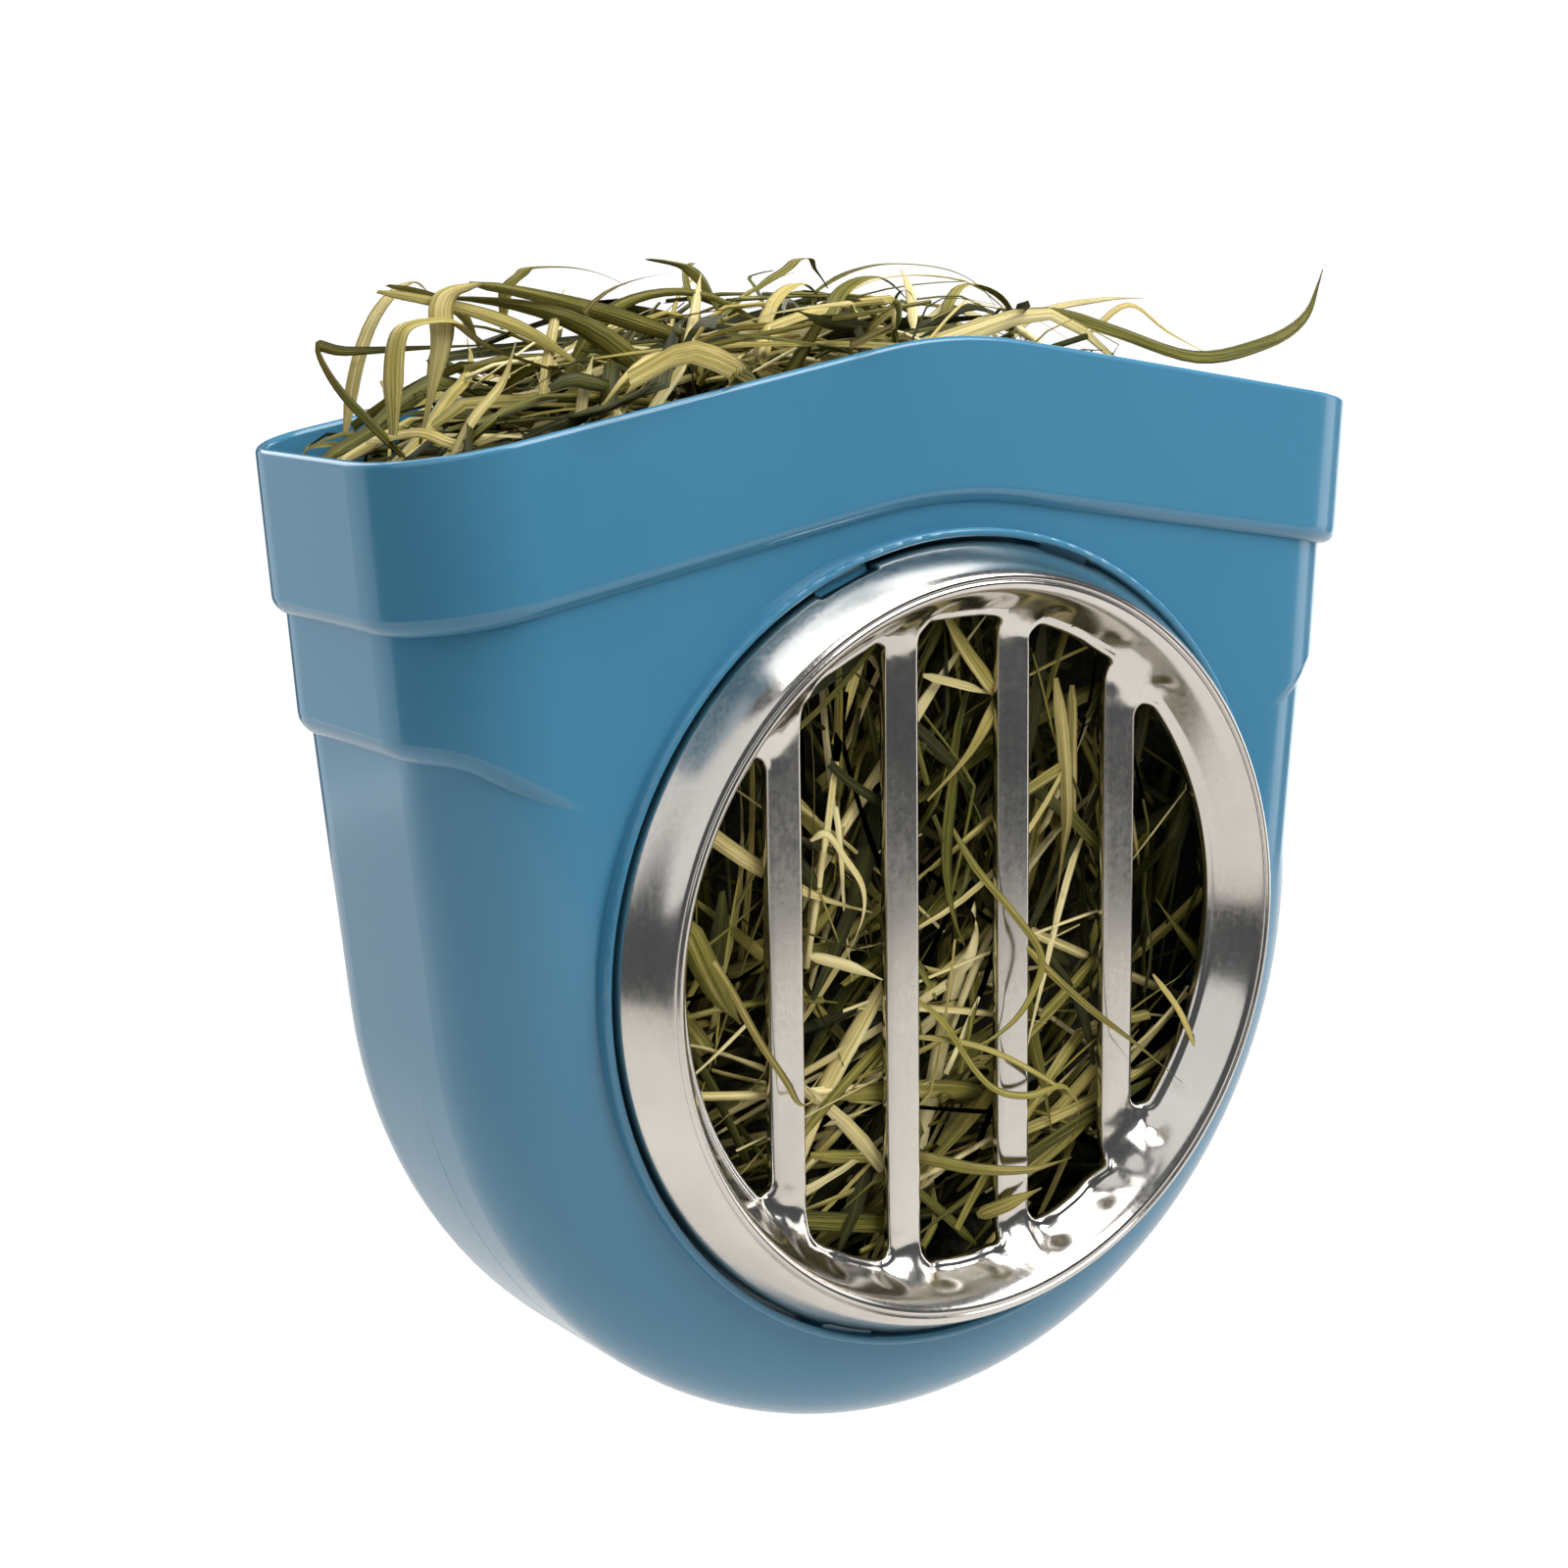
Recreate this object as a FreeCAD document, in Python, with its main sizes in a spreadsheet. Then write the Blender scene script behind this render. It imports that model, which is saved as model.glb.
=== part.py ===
"""Hay hopper feeder: a blue moulded bin with a pressed steel grille, bolted to the wires of a cage.

The origin is on the flat back face, midway between the two mounting bolts. +X is to the right of someone
who looks at the grille, +Y points out of the back and +Z is up. Lengths are in millimetres and angles in
degrees.
"""
import FreeCAD, Part
import os
from math import sin, tan

import Sketcher
from FreeCAD import Placement, Rotation, Vector

SIZES = [
    # the moulding
    ("wall", 2.4, "wall of the moulding"),
    ("face_depth", 69.0, "back face to the front face around the grille"),
    ("band_depth", 71.0, "back face to the front face of the rim band"),
    ("front_radius", 23.0, "rounding of the front edges"),
    ("back_radius", 16.0, "rounding of the back edges"),
    ("centre_drop", 55.0, "bolt line to the centre of the grille and of the round bottom"),
    ("bowl_radius", 100.0, "outer radius of the round bottom"),
    ("flare", 5.5, "angle at which the lower sides lean out"),
    ("flare_top", 75.0, "top of the lower sides, above the grille's centre"),
    ("rim_half_width", 113.5, "half the outer width at the rim"),
    ("rim_side", 96.5, "rim at the sides, above the grille's centre"),
    ("band_slope", 0.068, "outward lean of the bands, per mm of height"),
    ("gable_slope", 0.169, "rise of the rim and upper ledge towards the middle, per mm"),
    ("gable_radius", 100.0, "rounding of the gables at their peaks"),
    ("ledge_inset", 2.6, "how far each ledge steps in at the sides"),
    ("upper_ledge", 66.1, "underside of the rim band at the sides, above the grille's centre"),
    ("upper_round", 3.4, "rounding under the rim band"),
    ("lower_ledge", 43.8, "underside of the middle band at the sides, above the grille's centre"),
    ("lower_round", 4.6, "rounding under the middle band"),
    ("shoulder_x", 99.0, "where the lower ledge starts to dip on the front"),
    ("shoulder_slope", 0.75, "dip of the lower ledge on the front, per mm"),
    ("keel_x", 62.0, "where the dipping ledge ends, inside the front face"),
    ("dip_round", 8.0, "rounding where the dip starts and ends"),
    ("overlap", 10.0, "how far the middle band runs up inside the rim band"),
    ("mouth_clear", 20.0, "how far the cavity runs on above the rim"),
    # the seat of the grille
    ("lip_depth", 71.5, "back face to the front of the lip"),
    ("lip_outer", 79.0, "outer radius of the lip"),
    ("lip_round", 0.7, "rounding of the lip's edges"),
    ("seat_bore", 77.4, "radius of the bore that takes the grille"),
    ("seat_floor", 65.5, "back face to the face that the grille's edge rests on"),
    ("seat_tube", 2.0, "wall of the seat behind the front face"),
    ("seat_hole", 71.5, "radius of the hole in the seat's floor"),
    ("hook_angle", 20.0, "snap hooks, either side of the vertical"),
    ("hook_width", 12.0, "width of a snap hook"),
    ("hook_reach", 2.3, "how far a snap hook stands in from the bore"),
    ("hook_front", 69.6, "back face to the tip of a snap hook"),
    # the grille
    ("sheet_steel", 1.0, "thickness of the pressed sheet"),
    ("seat_gap", 0.1, "gap between the grille's edge and the seat's floor"),
    ("rim_base", 76.6, "outer radius of the grille at its edge"),
    ("rim_shoulder", 76.4, "outer radius of the grille at its shoulder"),
    ("shoulder_depth", 72.4, "back face to the shoulder, where the outside starts to slope"),
    ("shoulder_round", 6.0, "rounding of the grille's wall at its shoulder"),
    ("brow", 74.9, "radius midway up the slope from shoulder to crown"),
    ("brow_depth", 77.8, "back face to the middle of the slope"),
    ("brow_round", 8.0, "rounding of the middle of the slope"),
    ("crown_outer", 71.0, "outer radius of the crown's flat"),
    ("crown_inner", 69.3, "inner radius of the crown's flat"),
    ("crown_depth", 81.4, "back face to the crown"),
    ("crown_round", 1.0, "rounding of the crown's inner edges"),
    ("cone_top", 68.1, "radius at the top of the inner cone"),
    ("cone_top_depth", 80.4, "back face to the top of the inner cone"),
    ("cone_foot", 63.0, "radius at the foot of the inner cone"),
    ("foot_round", 2.0, "rounding at the foot of the inner cone and outside the crown"),
    ("foot_step", 0.2, "gap between the ends of the flanges and the foot of the cone"),
    ("floor_lap", 6.0, "how far the turned ring runs in over the flat floor"),
    ("bar_plane", 71.5, "back face to the front of the bars"),
    ("slot_end", 62.5, "radius of the round ends of the slots"),
    ("slot_corner", 2.5, "corner radius of the slots"),
    ("bar_pitch", 26.65, "bar to bar"),
    ("bar_width", 7.8, "width of a bar"),
    ("bar_flange", 2.2, "depth of a bar's turned-back edges"),
    ("notch_width", 13.6, "width of the notches in the grille's edge"),
    ("notch_front", 73.3, "back face to the front of the notches"),
    ("notch_gap", 1.0, "gap between a snap hook and the inner end of its notch"),
    ("tool_clear", 3.0, "how far a cutting shape runs past what it cuts"),
    # the fasteners
    ("bolt_half_span", 45.0, "middle of the back to a bolt"),
    ("bolt_radius", 3.0, "radius of an M6 shank"),
    ("bolt_length", 30.0, "bolt behind the back face"),
    ("bolt_head", 8.0, "radius of the domed head"),
    ("head_height", 3.4, "height of the domed head"),
    ("head_edge", 0.8, "height of the head's edge"),
    ("head_round", 1.0, "rounding of the head's edge"),
    ("neck", 6.0, "side of the square neck"),
    ("neck_length", 2.2, "length of the square neck"),
    ("neck_play", 0.1, "gap on each side of the square neck"),
    ("point_chamfer", 1.0, "chamfer at the end of the shank"),
    ("wire_gap", 5.0, "back face to the washers: room for the wires of a cage"),
    ("washer_radius", 15.0, "radius of a clamp washer"),
    ("washer_hole", 3.3, "radius of a clamp washer's hole"),
    ("washer_thick", 2.0, "thickness of a clamp washer"),
    ("washer_round", 0.4, "rounding of a clamp washer's edges"),
    ("nut_gap", 0.05, "gap between washer and nut"),
    ("nut_bore", 3.05, "radius of the nut's bore, a running fit on the shank"),
    ("nut_base", 6.6, "radius of the nut's boss at the washer"),
    ("nut_neck", 5.0, "radius of the nut's boss at its outer end"),
    ("nut_height", 8.0, "height of the nut's boss"),
    ("nut_foot", 1.0, "height of the straight foot of the nut's boss"),
    ("nut_round", 1.0, "rounding at the outer end of the nut's boss"),
    ("wing_root", 3.8, "inner end of a wing, from the axis"),
    ("wing_tip", 14.5, "outer end of a wing, from the axis"),
    ("wing_rise", 15.5, "outer edge of a wing, from the washer"),
    ("wing_low", 2.2, "lower corner of a wing's root, from the washer"),
    ("wing_heel", 11.6, "lower outer corner of a wing, from the axis"),
    ("heel_rise", 4.7, "lower outer corner of a wing, from the washer"),
    ("wing_inside", 9.0, "upper inner corner of a wing, from the axis"),
    ("wing_thick", 2.6, "thickness of a wing"),
    ("wing_round", 2.4, "rounding of a wing's corners"),
]

doc = FreeCAD.newDocument("hay_feeder")
sheet = doc.addObject("Spreadsheet::Sheet", "Sizes")
for row, (alias, value, meaning) in enumerate(SIZES, start=1):
    sheet.set(f"A{row}", meaning)
    sheet.set(f"B{row}", str(value))
    sheet.setAlias(f"B{row}", alias)
doc.recompute()


def size(alias):
    """Number in the sheet's cell."""
    return float(getattr(sheet, alias))


def bound(expression):
    """Expression with each alias written as a reference to the sheet."""
    words = []
    word = ""
    for letter in expression + " ":
        if letter.isalnum() or letter == "_":
            word += letter
            continue
        known = any(word == alias for alias, _, _ in SIZES)
        words.append(f"Sizes.{word}" if known else word)
        words.append(letter)
        word = ""
    return "".join(words).strip()


def number(expression):
    """Value of an expression of the sheet's aliases."""
    value = sheet.evalExpression(bound(expression))
    return float(getattr(value, "Value", value))


def bind(thing, **properties):
    """Bind properties of an object to expressions; a double underscore stands for a dot."""
    for name, expression in properties.items():
        thing.setExpression(name.replace("__", "."), bound(expression))
    return thing


# ---------------------------------------------------------------- sketches and features


def origin_plane(body, role):
    """Origin plane of a body."""
    return next(item for item in body.Origin.OriginFeatures if item.Role == role)


def new_sketch(body, name, role, offset=None):
    """Sketch on an origin plane of its own body, moved along the plane's normal by an expression."""
    sketch = body.newObject("Sketcher::SketchObject", name)
    sketch.AttachmentSupport = [(origin_plane(body, role), "")]
    sketch.MapMode = "FlatFace"
    if offset:
        bind(sketch, AttachmentOffset__Base__z=offset)
    return sketch


def constrain(sketch, *parts, to=None):
    """Add a constraint; its size, if it has one, follows the expression given."""
    sized = parts + (number(to),) if to else parts
    index = sketch.addConstraint(Sketcher.Constraint(*sized))
    if to:
        sketch.setExpression(f"Constraints[{index}]", bound(to))


def fix_point(sketch, geometry, end, across, along):
    """Hold a sketch point at two expressions, measured from the sketch's origin."""
    constrain(sketch, "DistanceX", -1, 1, geometry, end, to=across)
    constrain(sketch, "DistanceY", -1, 1, geometry, end, to=along)


def rounded_outline(sketch, corners):
    """Closed outline through corners (across, along, radius or None), as expressions.

    Each straight side is a line. A rounded corner is an arc tangent to its two sides, and a construction
    point holds the place where those sides would meet.
    """
    points = [Vector(number(a), number(b), 0) for a, b, _ in corners]
    count = len(corners)
    ends = []
    arcs = {}
    for i, (_, _, radius) in enumerate(corners):
        here = points[i]
        back = (points[i - 1] - here).normalize()
        ahead = (points[(i + 1) % count] - here).normalize()
        if radius is None:
            ends.append((here, here))
            continue
        half = back.getAngle(ahead) / 2
        reach = number(radius) / tan(half)
        middle = here + (back + ahead).normalize() * number(radius) * (1 / sin(half) - 1)
        first, last = here + back * reach, here + ahead * reach
        ends.append((first, last))
        arcs[i] = Part.Arc(first, middle, last)
    lines = []
    for i in range(count):
        side = Part.LineSegment(ends[i][1], ends[(i + 1) % count][0])
        lines.append(sketch.addGeometry(side))
    for i, (across, along, radius) in enumerate(corners):
        before, after = lines[i - 1], lines[i]
        if radius is None:
            constrain(sketch, "Coincident", before, 2, after, 1)
            fix_point(sketch, after, 1, across, along)
            continue
        arc = sketch.addGeometry(arcs[i])
        starts_first = (sketch.getPoint(arc, 1) - ends[i][0]).Length < 1e-6
        near, far = (1, 2) if starts_first else (2, 1)
        constrain(sketch, "Tangent", before, 2, arc, near)
        constrain(sketch, "Tangent", after, 1, arc, far)
        corner = sketch.addGeometry(Part.Point(points[i]), True)
        constrain(sketch, "PointOnObject", corner, 1, before)
        constrain(sketch, "PointOnObject", corner, 1, after)
        fix_point(sketch, corner, 1, across, along)
        constrain(sketch, "Radius", arc, to=radius)
    return sketch


def new_body(name):
    """PartDesign body whose label is its name."""
    body = doc.addObject("PartDesign::Body", name)
    body.Label = name
    return body


def pad(body, name, sketch, length, midplane=False):
    """Pad of a sketch along its normal, or to both sides of its plane."""
    feature = body.newObject("PartDesign::Pad", name)
    feature.Profile = sketch
    feature.Midplane = midplane
    bind(feature, Length=length)
    doc.recompute()
    return feature


def revolve(body, name, sketch, axis):
    """Full revolution of a sketch about one of its own axes."""
    feature = body.newObject("PartDesign::Revolution", name)
    feature.Profile = sketch
    feature.ReferenceAxis = (sketch, [axis])
    feature.Angle = 360
    doc.recompute()
    return feature


def fillet(body, name, base, test, radius):
    """Fillet of a body's edges that pass a test."""
    edges = [f"Edge{i}" for i, edge in enumerate(base.Shape.Edges, start=1) if test(edge)]
    feature = body.newObject("PartDesign::Fillet", name)
    feature.Base = (base, edges)
    bind(feature, Radius=radius)
    doc.recompute()
    return feature


def box(name, x, y, z):
    """Part::Box between pairs of expressions."""
    block = doc.addObject("Part::Box", name)
    for (low, high), letter, side in zip((x, y, z), "xyz", ("Length", "Width", "Height")):
        block.setExpression(f"Placement.Base.{letter}", bound(low))
        block.setExpression(side, bound(f"({high}) - ({low})"))
    return block


def disc(name, radius, front, back, z="0 - centre_drop", x="0"):
    """Part::Cylinder along Y, between two depths measured forward from the back face."""
    cylinder = doc.addObject("Part::Cylinder", name)
    cylinder.Placement = Placement(Vector(), Rotation(Vector(1, 0, 0), 90))
    bind(cylinder, Radius=radius, Height=f"({front}) - ({back})")
    bind(cylinder, Placement__Base__x=x, Placement__Base__y=f"0 - ({back})", Placement__Base__z=z)
    return cylinder


def join(name, parts):
    """Fusion of several shapes, with shared faces merged."""
    fused = doc.addObject("Part::MultiFuse", name)
    fused.Shapes = parts
    fused.Refine = True
    return fused


def cut(name, base, tool):
    """Base without the tool."""
    result = doc.addObject("Part::Cut", name)
    result.Base, result.Tool = base, tool
    result.Refine = True
    return result


def common(name, first, second):
    """What two shapes share."""
    result = doc.addObject("Part::MultiCommon", name)
    result.Shapes = [first, second]
    return result


def edge_fillet(name, base, chosen, radius):
    """Part::Fillet of the chosen edges of a shape."""
    rounded = doc.addObject("Part::Fillet", name)
    rounded.Base = base
    rounded.Edges = [
        (n, size(radius), size(radius))
        for n, edge in enumerate(base.Shape.Edges, start=1)
        if any(edge.isSame(other) for other in chosen)
    ]
    return rounded


# ---------------------------------------------------------------- the moulding


def mirrored(right):
    """Corners of a symmetric outline from those of its right half, listed from bottom to top."""
    left = [(f"0 - ({across})", along, radius) for across, along, radius in reversed(right)]
    return right + left


def upward(face):
    """Vertical part of a face's normal at its middle."""
    u0, u1, v0, v1 = face.ParameterRange
    return face.normalAt((u0 + u1) / 2, (v0 + v1) / 2).z


def lower_edges(solid):
    """Edges between the faces that look down and the walls around them."""
    down = [face for face in solid.Faces if upward(face) < -0.5]
    walls = [face for face in solid.Faces if upward(face) >= -0.5]

    def test(edge):
        under = any(edge.isSame(other) for face in down for other in face.Edges)
        return under and any(edge.isSame(other) for face in walls for other in face.Edges)

    return test


def side_edges(depth, nearest):
    """Edges at a depth behind the front that follow the sides and the bottom, further out than nearest."""

    def test(edge):
        ends = [vertex.Point for vertex in edge.Vertexes]
        level = isinstance(edge.Curve, Part.Line) and abs(ends[0].z - ends[-1].z) < 1e-3
        on_plane = all(abs(point.y + depth) < 1e-4 for point in ends)
        return on_plane and not level and min(abs(point.x) for point in ends) > nearest

    return test


def slab(name, corners, depth, inset, walls_from, ledge=None):
    """One slab of the bin: a front outline padded from the back face, with its edges rounded.

    inset is 0 for the outer surface and wall for the cavity; both use the same corners.
    """
    body = new_body(name)
    sketch = new_sketch(body, f"{name}_outline", "XZ_Plane", offset=inset)
    rounded_outline(sketch, corners)
    block = pad(body, f"{name}_pad", sketch, f"{depth} - 2 * ({inset})")
    front = side_edges(number(f"{depth} - ({inset})"), walls_from)
    block = fillet(body, f"{name}_front", block, front, f"front_radius - ({inset})")
    back = side_edges(number(inset), walls_from)
    block = fillet(body, f"{name}_back", block, back, f"back_radius - ({inset})")
    if ledge:
        block = fillet(body, f"{name}_ledge", block, lower_edges(block.Shape), ledge)
    return body


def bin_solid(name, inset, above="0"):
    """Outer solid of the bin, or its cavity when inset is the wall's thickness.

    Three slabs share the back plane: the lower bin, the middle band and the rim band.
    """
    level = "(0 - centre_drop)"
    bowl = f"(bowl_radius - ({inset}))"
    lower_half = f"{bowl} * cos(flare) + (flare_top + {bowl} * sin(flare)) * tan(flare)"
    lower = slab(f"{name}_lower", [
        ("0", f"{level} - {bowl} / sin(flare)", bowl),
        (lower_half, f"flare_top + {level}", None),
        (f"0 - ({lower_half})", f"flare_top + {level}", None),
    ], "face_depth", inset, 0)

    outer_sides = number("shoulder_x + dip_round / 2")
    rim_at = "(rim_half_width - ({0}) - band_slope * (rim_side - ({1})))"
    mid_low = f"lower_ledge + ({inset})"
    mid_top = "upper_ledge + overlap"
    mid_half = rim_at.format(f"ledge_inset + ({inset})", mid_low)
    mid_half_top = rim_at.format(f"ledge_inset + ({inset})", mid_top)
    dip = "shoulder_slope * (shoulder_x - keel_x)"
    right_half = [
        ("keel_x", f"{mid_low} - {dip} + {level}", "dip_round"),
        ("shoulder_x", f"{mid_low} + {level}", "dip_round"),
        (mid_half, f"{mid_low} + {level}", None),
        (mid_half_top, f"{mid_top} + {level}", None),
    ]
    peak = ("0", f"{mid_top} + gable_slope * {mid_half_top} + {level}", None)
    left_half = mirrored(right_half)[len(right_half):]
    middle = slab(f"{name}_middle", right_half + [peak] + left_half,
                  "face_depth", inset, outer_sides, f"lower_round - ({inset})")

    band_low = f"upper_ledge + ({inset})"
    band_half = rim_at.format(inset, band_low)
    rim_half = rim_at.format(inset, f"rim_side + ({above})")
    rim = slab(f"{name}_band", [
        ("0", f"{band_low} + gable_slope * {band_half} + {level}", "gable_radius"),
        (band_half, f"{band_low} + {level}", None),
        (rim_half, f"rim_side + ({above}) + {level}", None),
        ("0", f"rim_side + ({above}) + gable_slope * {rim_half} + {level}", "gable_radius"),
        (f"0 - ({rim_half})", f"rim_side + ({above}) + {level}", None),
        (f"0 - ({band_half})", f"{band_low} + {level}", None),
    ], "band_depth", inset, outer_sides, f"upper_round - ({inset})")
    return join(name, [lower, middle, rim])


def ring(name, corners):
    """Ring about the grille's axis, from a section of corners (radius, depth, rounding).

    A depth is measured forward from the back face.
    """
    body = new_body(name)
    sketch = new_sketch(body, f"{name}_section", "YZ_Plane")
    section = [
        (f"0 - ({depth})", f"{radius} - centre_drop", rounding) for radius, depth, rounding in corners
    ]
    rounded_outline(sketch, section)
    start, end = Vector(-size("crown_depth"), -size("centre_drop"), 0), Vector(0, -size("centre_drop"), 0)
    axis = sketch.addGeometry(Part.LineSegment(start, end), True)
    constrain(sketch, "Horizontal", axis)
    fix_point(sketch, axis, 1, "0 - crown_depth - wall", "0 - centre_drop")
    constrain(sketch, "DistanceX", axis, 1, axis, 2, to="crown_depth")
    revolve(body, f"{name}_revolution", sketch, "Axis0")
    return body


def around_grille(name, angle, width, reach, front, back):
    """Block at an angle about the grille's axis, between two radii and two depths."""
    block = doc.addObject("Part::Box", name)
    inner, outer = reach
    bind(block, Length=width, Width=f"({front}) - ({back})", Height=f"({outer}) - ({inner})")
    turn = f"({angle})"
    side = f"({width}) / 2"
    bind(block,
         Placement__Base__x=f"({inner}) * sin{turn} - {side} * cos{turn}",
         Placement__Base__y=f"0 - ({front})",
         Placement__Base__z=f"({inner}) * cos{turn} + {side} * sin{turn} - centre_drop")
    block.Placement.Rotation = Rotation(Vector(0, 1, 0), number(angle))
    bind(block, Placement__Rotation__Angle=angle)
    return block


HOOK_ANGLES = ["hook_angle", "0 - hook_angle", "180 - hook_angle", "180 + hook_angle"]


def hopper_body():
    """The moulding: shell, seat with its lip and snap hooks, and two square holes for the bolts."""
    shell = cut("shell", bin_solid("outside", "0"), bin_solid("cavity", "wall", above="mouth_clear"))
    opening = disc("grille_opening", "seat_bore + seat_tube / 2", "lip_depth + tool_clear",
                   "seat_floor - wall")
    seat = ring("seat", [
        ("seat_hole", "seat_floor", None),
        ("seat_hole", "seat_floor - wall", None),
        ("seat_bore + seat_tube", "seat_floor - wall", None),
        ("seat_bore + seat_tube", "face_depth - wall / 2", None),
        ("lip_outer", "face_depth - wall / 2", None),
        ("lip_outer", "lip_depth", "lip_round"),
        ("seat_bore", "lip_depth", "lip_round"),
        ("seat_bore", "seat_floor", None),
    ])
    hooks = [
        around_grille(f"hook_{i}", angle, "hook_width",
                      ("seat_bore - hook_reach", "seat_bore + seat_tube / 2"),
                      "hook_front", "seat_floor - wall / 2")
        for i, angle in enumerate(HOOK_ANGLES)
    ]
    holes = []
    for side in ("0 - bolt_half_span", "bolt_half_span"):
        half = "(neck / 2 + neck_play)"
        holes.append(box(f"square_hole_{len(holes)}", (f"{side} - {half}", f"{side} + {half}"),
                         ("0 - 2 * wall", "wall"), (f"0 - {half}", half)))
    seated = join("seated_shell", [cut("open_shell", shell, opening), seat] + hooks)
    return cut("hopper_body", seated, join("bolt_holes", holes))


# ---------------------------------------------------------------- the grille


def slots():
    """Five slots: upright sides along the bars, ends on one circle, rounded corners."""
    reach = "slot_end + tool_clear"
    cutters = []
    for i in range(-2, 3):
        low = f"({i} - 0.5) * bar_pitch + bar_width / 2" if i > -2 else f"0 - ({reach})"
        high = f"({i} + 0.5) * bar_pitch - bar_width / 2" if i < 2 else reach
        block = box(f"slot_block_{i + 3}", (low, high),
                    ("0 - bar_plane - tool_clear", "tool_clear - bar_plane"),
                    (f"0 - ({reach}) - centre_drop", f"{reach} - centre_drop"))
        ends = disc(f"slot_ends_{i + 3}", "slot_end", "bar_plane + tool_clear", "bar_plane - tool_clear")
        sharp = common(f"slot_sharp_{i + 3}", block, ends)
        doc.recompute()
        corners = [
            edge for edge in sharp.Shape.Edges
            if isinstance(edge.Curve, Part.Line) and abs(edge.tangentAt(edge.FirstParameter).y) > 0.99
        ]
        cutters.append(edge_fillet(f"slot_{i + 3}", sharp, corners, "slot_corner"))
    return join("slots", cutters)


def flanges():
    """Turned-back edges of the four bars, trimmed to the foot of the cone."""
    strips = []
    for i in range(4):
        middle = f"({i} - 1.5) * bar_pitch"
        for near, far in (("0 - bar_width / 2", "sheet_steel - bar_width / 2"),
                          ("bar_width / 2 - sheet_steel", "bar_width / 2")):
            strips.append(box(f"flange_{len(strips)}", (f"{middle} + {near}", f"{middle} + {far}"),
                              ("0 - bar_plane", "bar_flange - bar_plane"),
                              ("0 - cone_foot - centre_drop", "cone_foot - centre_drop")))
    trim = disc("flange_trim", "cone_foot - foot_step", "bar_plane", "bar_plane - bar_flange")
    return common("bar_flanges", join("flange_strips", strips), trim)


def front_grille():
    """One pressed sheet: wall, crown and cone turned about the axis, and a floor of channel bars."""
    dish = ring("dish", [
        ("rim_base - sheet_steel", "seat_floor + seat_gap", None),
        ("rim_base", "seat_floor + seat_gap", None),
        ("rim_shoulder", "shoulder_depth", "shoulder_round"),
        ("brow", "brow_depth", "brow_round"),
        ("crown_outer", "crown_depth", "foot_round"),
        ("crown_inner", "crown_depth", "crown_round"),
        ("cone_top", "cone_top_depth", "crown_round"),
        ("cone_foot", "bar_plane", "foot_round"),
        ("cone_foot - floor_lap", "bar_plane", None),
        ("cone_foot - floor_lap", "bar_plane - sheet_steel", None),
        ("cone_foot + 0.6 * sheet_steel", "bar_plane - sheet_steel", "foot_round + sheet_steel"),
        ("cone_top + 0.7 * sheet_steel", "cone_top_depth - 0.6 * sheet_steel", "crown_round"),
        ("crown_inner + 0.4 * sheet_steel", "crown_depth - sheet_steel", "crown_round"),
        ("crown_outer - 0.4 * sheet_steel", "crown_depth - sheet_steel", "crown_round"),
        ("brow - 0.9 * sheet_steel", "brow_depth - 0.55 * sheet_steel", "brow_round - sheet_steel"),
        ("rim_shoulder - sheet_steel", "shoulder_depth", "shoulder_round - sheet_steel"),
    ])
    floor = disc("grille_floor", "cone_foot - foot_round / 2", "bar_plane", "bar_plane - sheet_steel")
    pressed = cut("slotted_dish", join("blank", [dish, floor]), slots())
    notches = [
        around_grille(f"notch_{i}", angle, "notch_width",
                      ("seat_bore - hook_reach - notch_gap", "seat_bore"),
                      "notch_front", "seat_floor - tool_clear")
        for i, angle in enumerate(HOOK_ANGLES)
    ]
    return cut("front_grille", join("barred_dish", [pressed, flanges()]), join("notches", notches))


# ---------------------------------------------------------------- the fasteners


def turned(name, corners):
    """Solid turned about the Y axis through the origin, from corners (radius, distance behind the back)."""
    body = new_body(name)
    sketch = new_sketch(body, f"{name}_section", "XY_Plane")
    rounded_outline(sketch, corners)
    revolve(body, f"{name}_revolution", sketch, "V_Axis")
    return body


def bolt(name):
    """Carriage bolt: domed head inside, square neck in the wall and a plain shank out of the back."""
    body = turned(name, [
        ("0", "0 - wall - head_height", None),
        ("bolt_head / 2", "0 - wall - head_height", "bolt_head / 2"),
        ("bolt_head", "0 - wall - head_edge", "head_round"),
        ("bolt_head", "0 - wall", None),
        ("bolt_radius", "0 - wall", None),
        ("bolt_radius", "bolt_length - point_chamfer", None),
        ("bolt_radius - point_chamfer", "bolt_length", None),
        ("0", "bolt_length", None),
    ])
    neck = new_sketch(body, f"{name}_neck_outline", "XZ_Plane", offset="wall")
    rounded_outline(neck, [
        ("0 - neck / 2", "0 - neck / 2", None),
        ("neck / 2", "0 - neck / 2", None),
        ("neck / 2", "neck / 2", None),
        ("0 - neck / 2", "neck / 2", None),
    ])
    square = pad(body, f"{name}_neck", neck, "neck_length")
    square.Reversed = True
    return body


def washer(name):
    """Flat clamp washer."""
    return turned(name, [
        ("washer_hole", "wire_gap", None),
        ("washer_radius", "wire_gap", "washer_round"),
        ("washer_radius", "wire_gap + washer_thick", "washer_round"),
        ("washer_hole", "wire_gap + washer_thick", None),
    ])


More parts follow.
